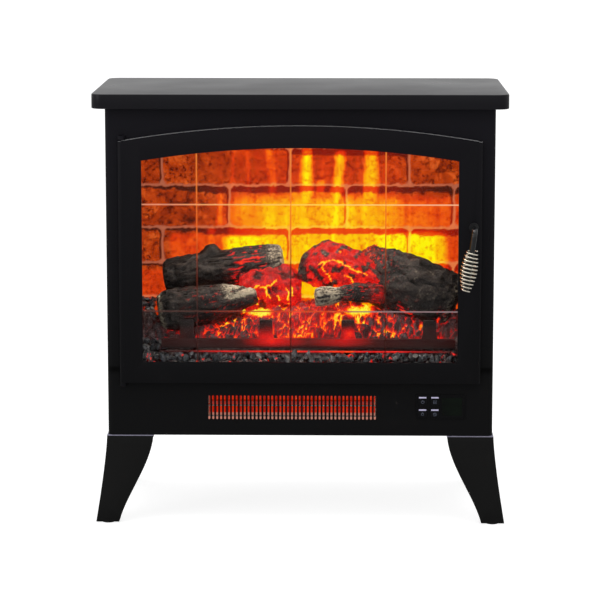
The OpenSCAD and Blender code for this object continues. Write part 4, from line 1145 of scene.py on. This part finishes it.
# %% Controls
panel_plastic = finish("injection_moulded_gloss_abs", "#0a0a0b", "#101012", 0.30, 0.0, 1.0,
    (1, 1, 1),
    0.00001, Specular_IOR_Level=0.07)
button_plastic = finish("injection_moulded_satin_abs", "#0c0c0e", "#131316", 0.35, 0.0, 0.8,
    (1, 1, 1),
    0.00002, Specular_IOR_Level=0.08)
light, tree, shader = start_material("lit_light_pipe", Base_Color=linear("#8884a0"), Roughness=0.3,
    Emission_Strength=0.48)
place = node(tree, "TexCoord").outputs["Object"]
soft = node(tree, "TexNoise", {"Vector": place, "Scale": 300.0})
tone = node(tree, "ValToRGB", {"Fac": soft}, stops=[(0.3, "#b4b0cc"), (0.7, "#dedaf2")])
join(shader, Emission_Color=tone)
lens, tree, shader = start_material("smoked_acrylic_lens", Base_Color=linear("#060807"),
    Roughness=0.12, Specular_IOR_Level=0.06,
    Emission_Strength=0.5)
place = node(tree, "TexCoord").outputs["Object"]
soft = node(tree, "TexNoise", {"Vector": place, "Scale": 60.0})
# a faint green glow is painted on the lens, though the display behind it is unlit
tone = node(tree, "ValToRGB", {"Fac": soft}, stops=[(0.35, "#0a0c0a"), (0.65, "#0e160e")])
join(shader, Emission_Color=tone)
print_ink = finish("pad_printed_ink", "#5a5f70", "#737a8c", 0.6, 0.0, 0.5)

bezel = softened("control_bezel", "control_bezel_moulded", 0.0003, 2, 40, flatten=False)
fit(bezel, panel_plastic, "cabinet", "panel_plastic", "control_bezel")
dress(light, "indicator_lights")
dress(lens, "display_lens")


def sign(name, strokes, body):
    """A flat printed sign of thin bars. A stroke is a start and an end, in mm from its middle."""
    low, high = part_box(body)
    bars = []
    for i, (start, end) in enumerate(strokes):
        a, b = Vector((start[0], 0, start[1])) * MM, Vector((end[0], 0, end[1])) * MM
        alone(None)
        bpy.ops.mesh.primitive_cube_add(size=1, location=(a + b) / 2,
            scale=((b - a).length + 0.0002, 0.0002, 0.0005),
            rotation=(0, -math.atan2(b.z - a.z, b.x - a.x), 0))
        bars.append(named(f"{name}_{i}"))
    alone(bars[0])
    for bar in bars:
        bar.select_set(True)
    bpy.ops.object.join()
    mark = named(name)
    middle = (low + high) / 2
    set_points(mark, points(mark) + np.array([middle.x, low.y - 0.00005, middle.z]))
    fit(mark, print_ink, body, "button_plastic")


def ring(radius, first, last, steps=12):
    turn = [math.radians(first + (last - first) * i / steps) for i in range(steps + 1)]
    rim = [(radius * math.cos(a), radius * math.sin(a)) for a in turn]
    return list(zip(rim[:-1], rim[1:]))


for name in ("button_power", "button_heat", "button_flame", "button_timer"):
    cap = softened(name, f"{name}_cap", 0.0004, 2, 40)
    fit(cap, button_plastic, name, "button_plastic", name)
sign("sign_power", ring(2.2, 125, 415, 12) + [((0, 0.6), (0, 2.7))], "button_power")
sign("sign_heat", [((dx + 0.5 * math.sin(1.6 * k), -2.4 + 0.8 * k),
    (dx + 0.5 * math.sin(1.6 * (k + 1)), -1.6 + 0.8 * k))
    for dx in (-1.8, 0, 1.8) for k in range(6)], "button_heat")
sign("sign_flame", ring(1.7, -220, 40, 10) + [((-1.3, 1.1), (0.1, 2.9)), ((0.1, 2.9), (1.3, 1.1))],
    "button_flame")
sign("sign_timer", ring(2.3, 0, 360, 14) + [((0, 0), (0, 1.5)), ((0, 0), (1.1, -0.6))],
    "button_timer")
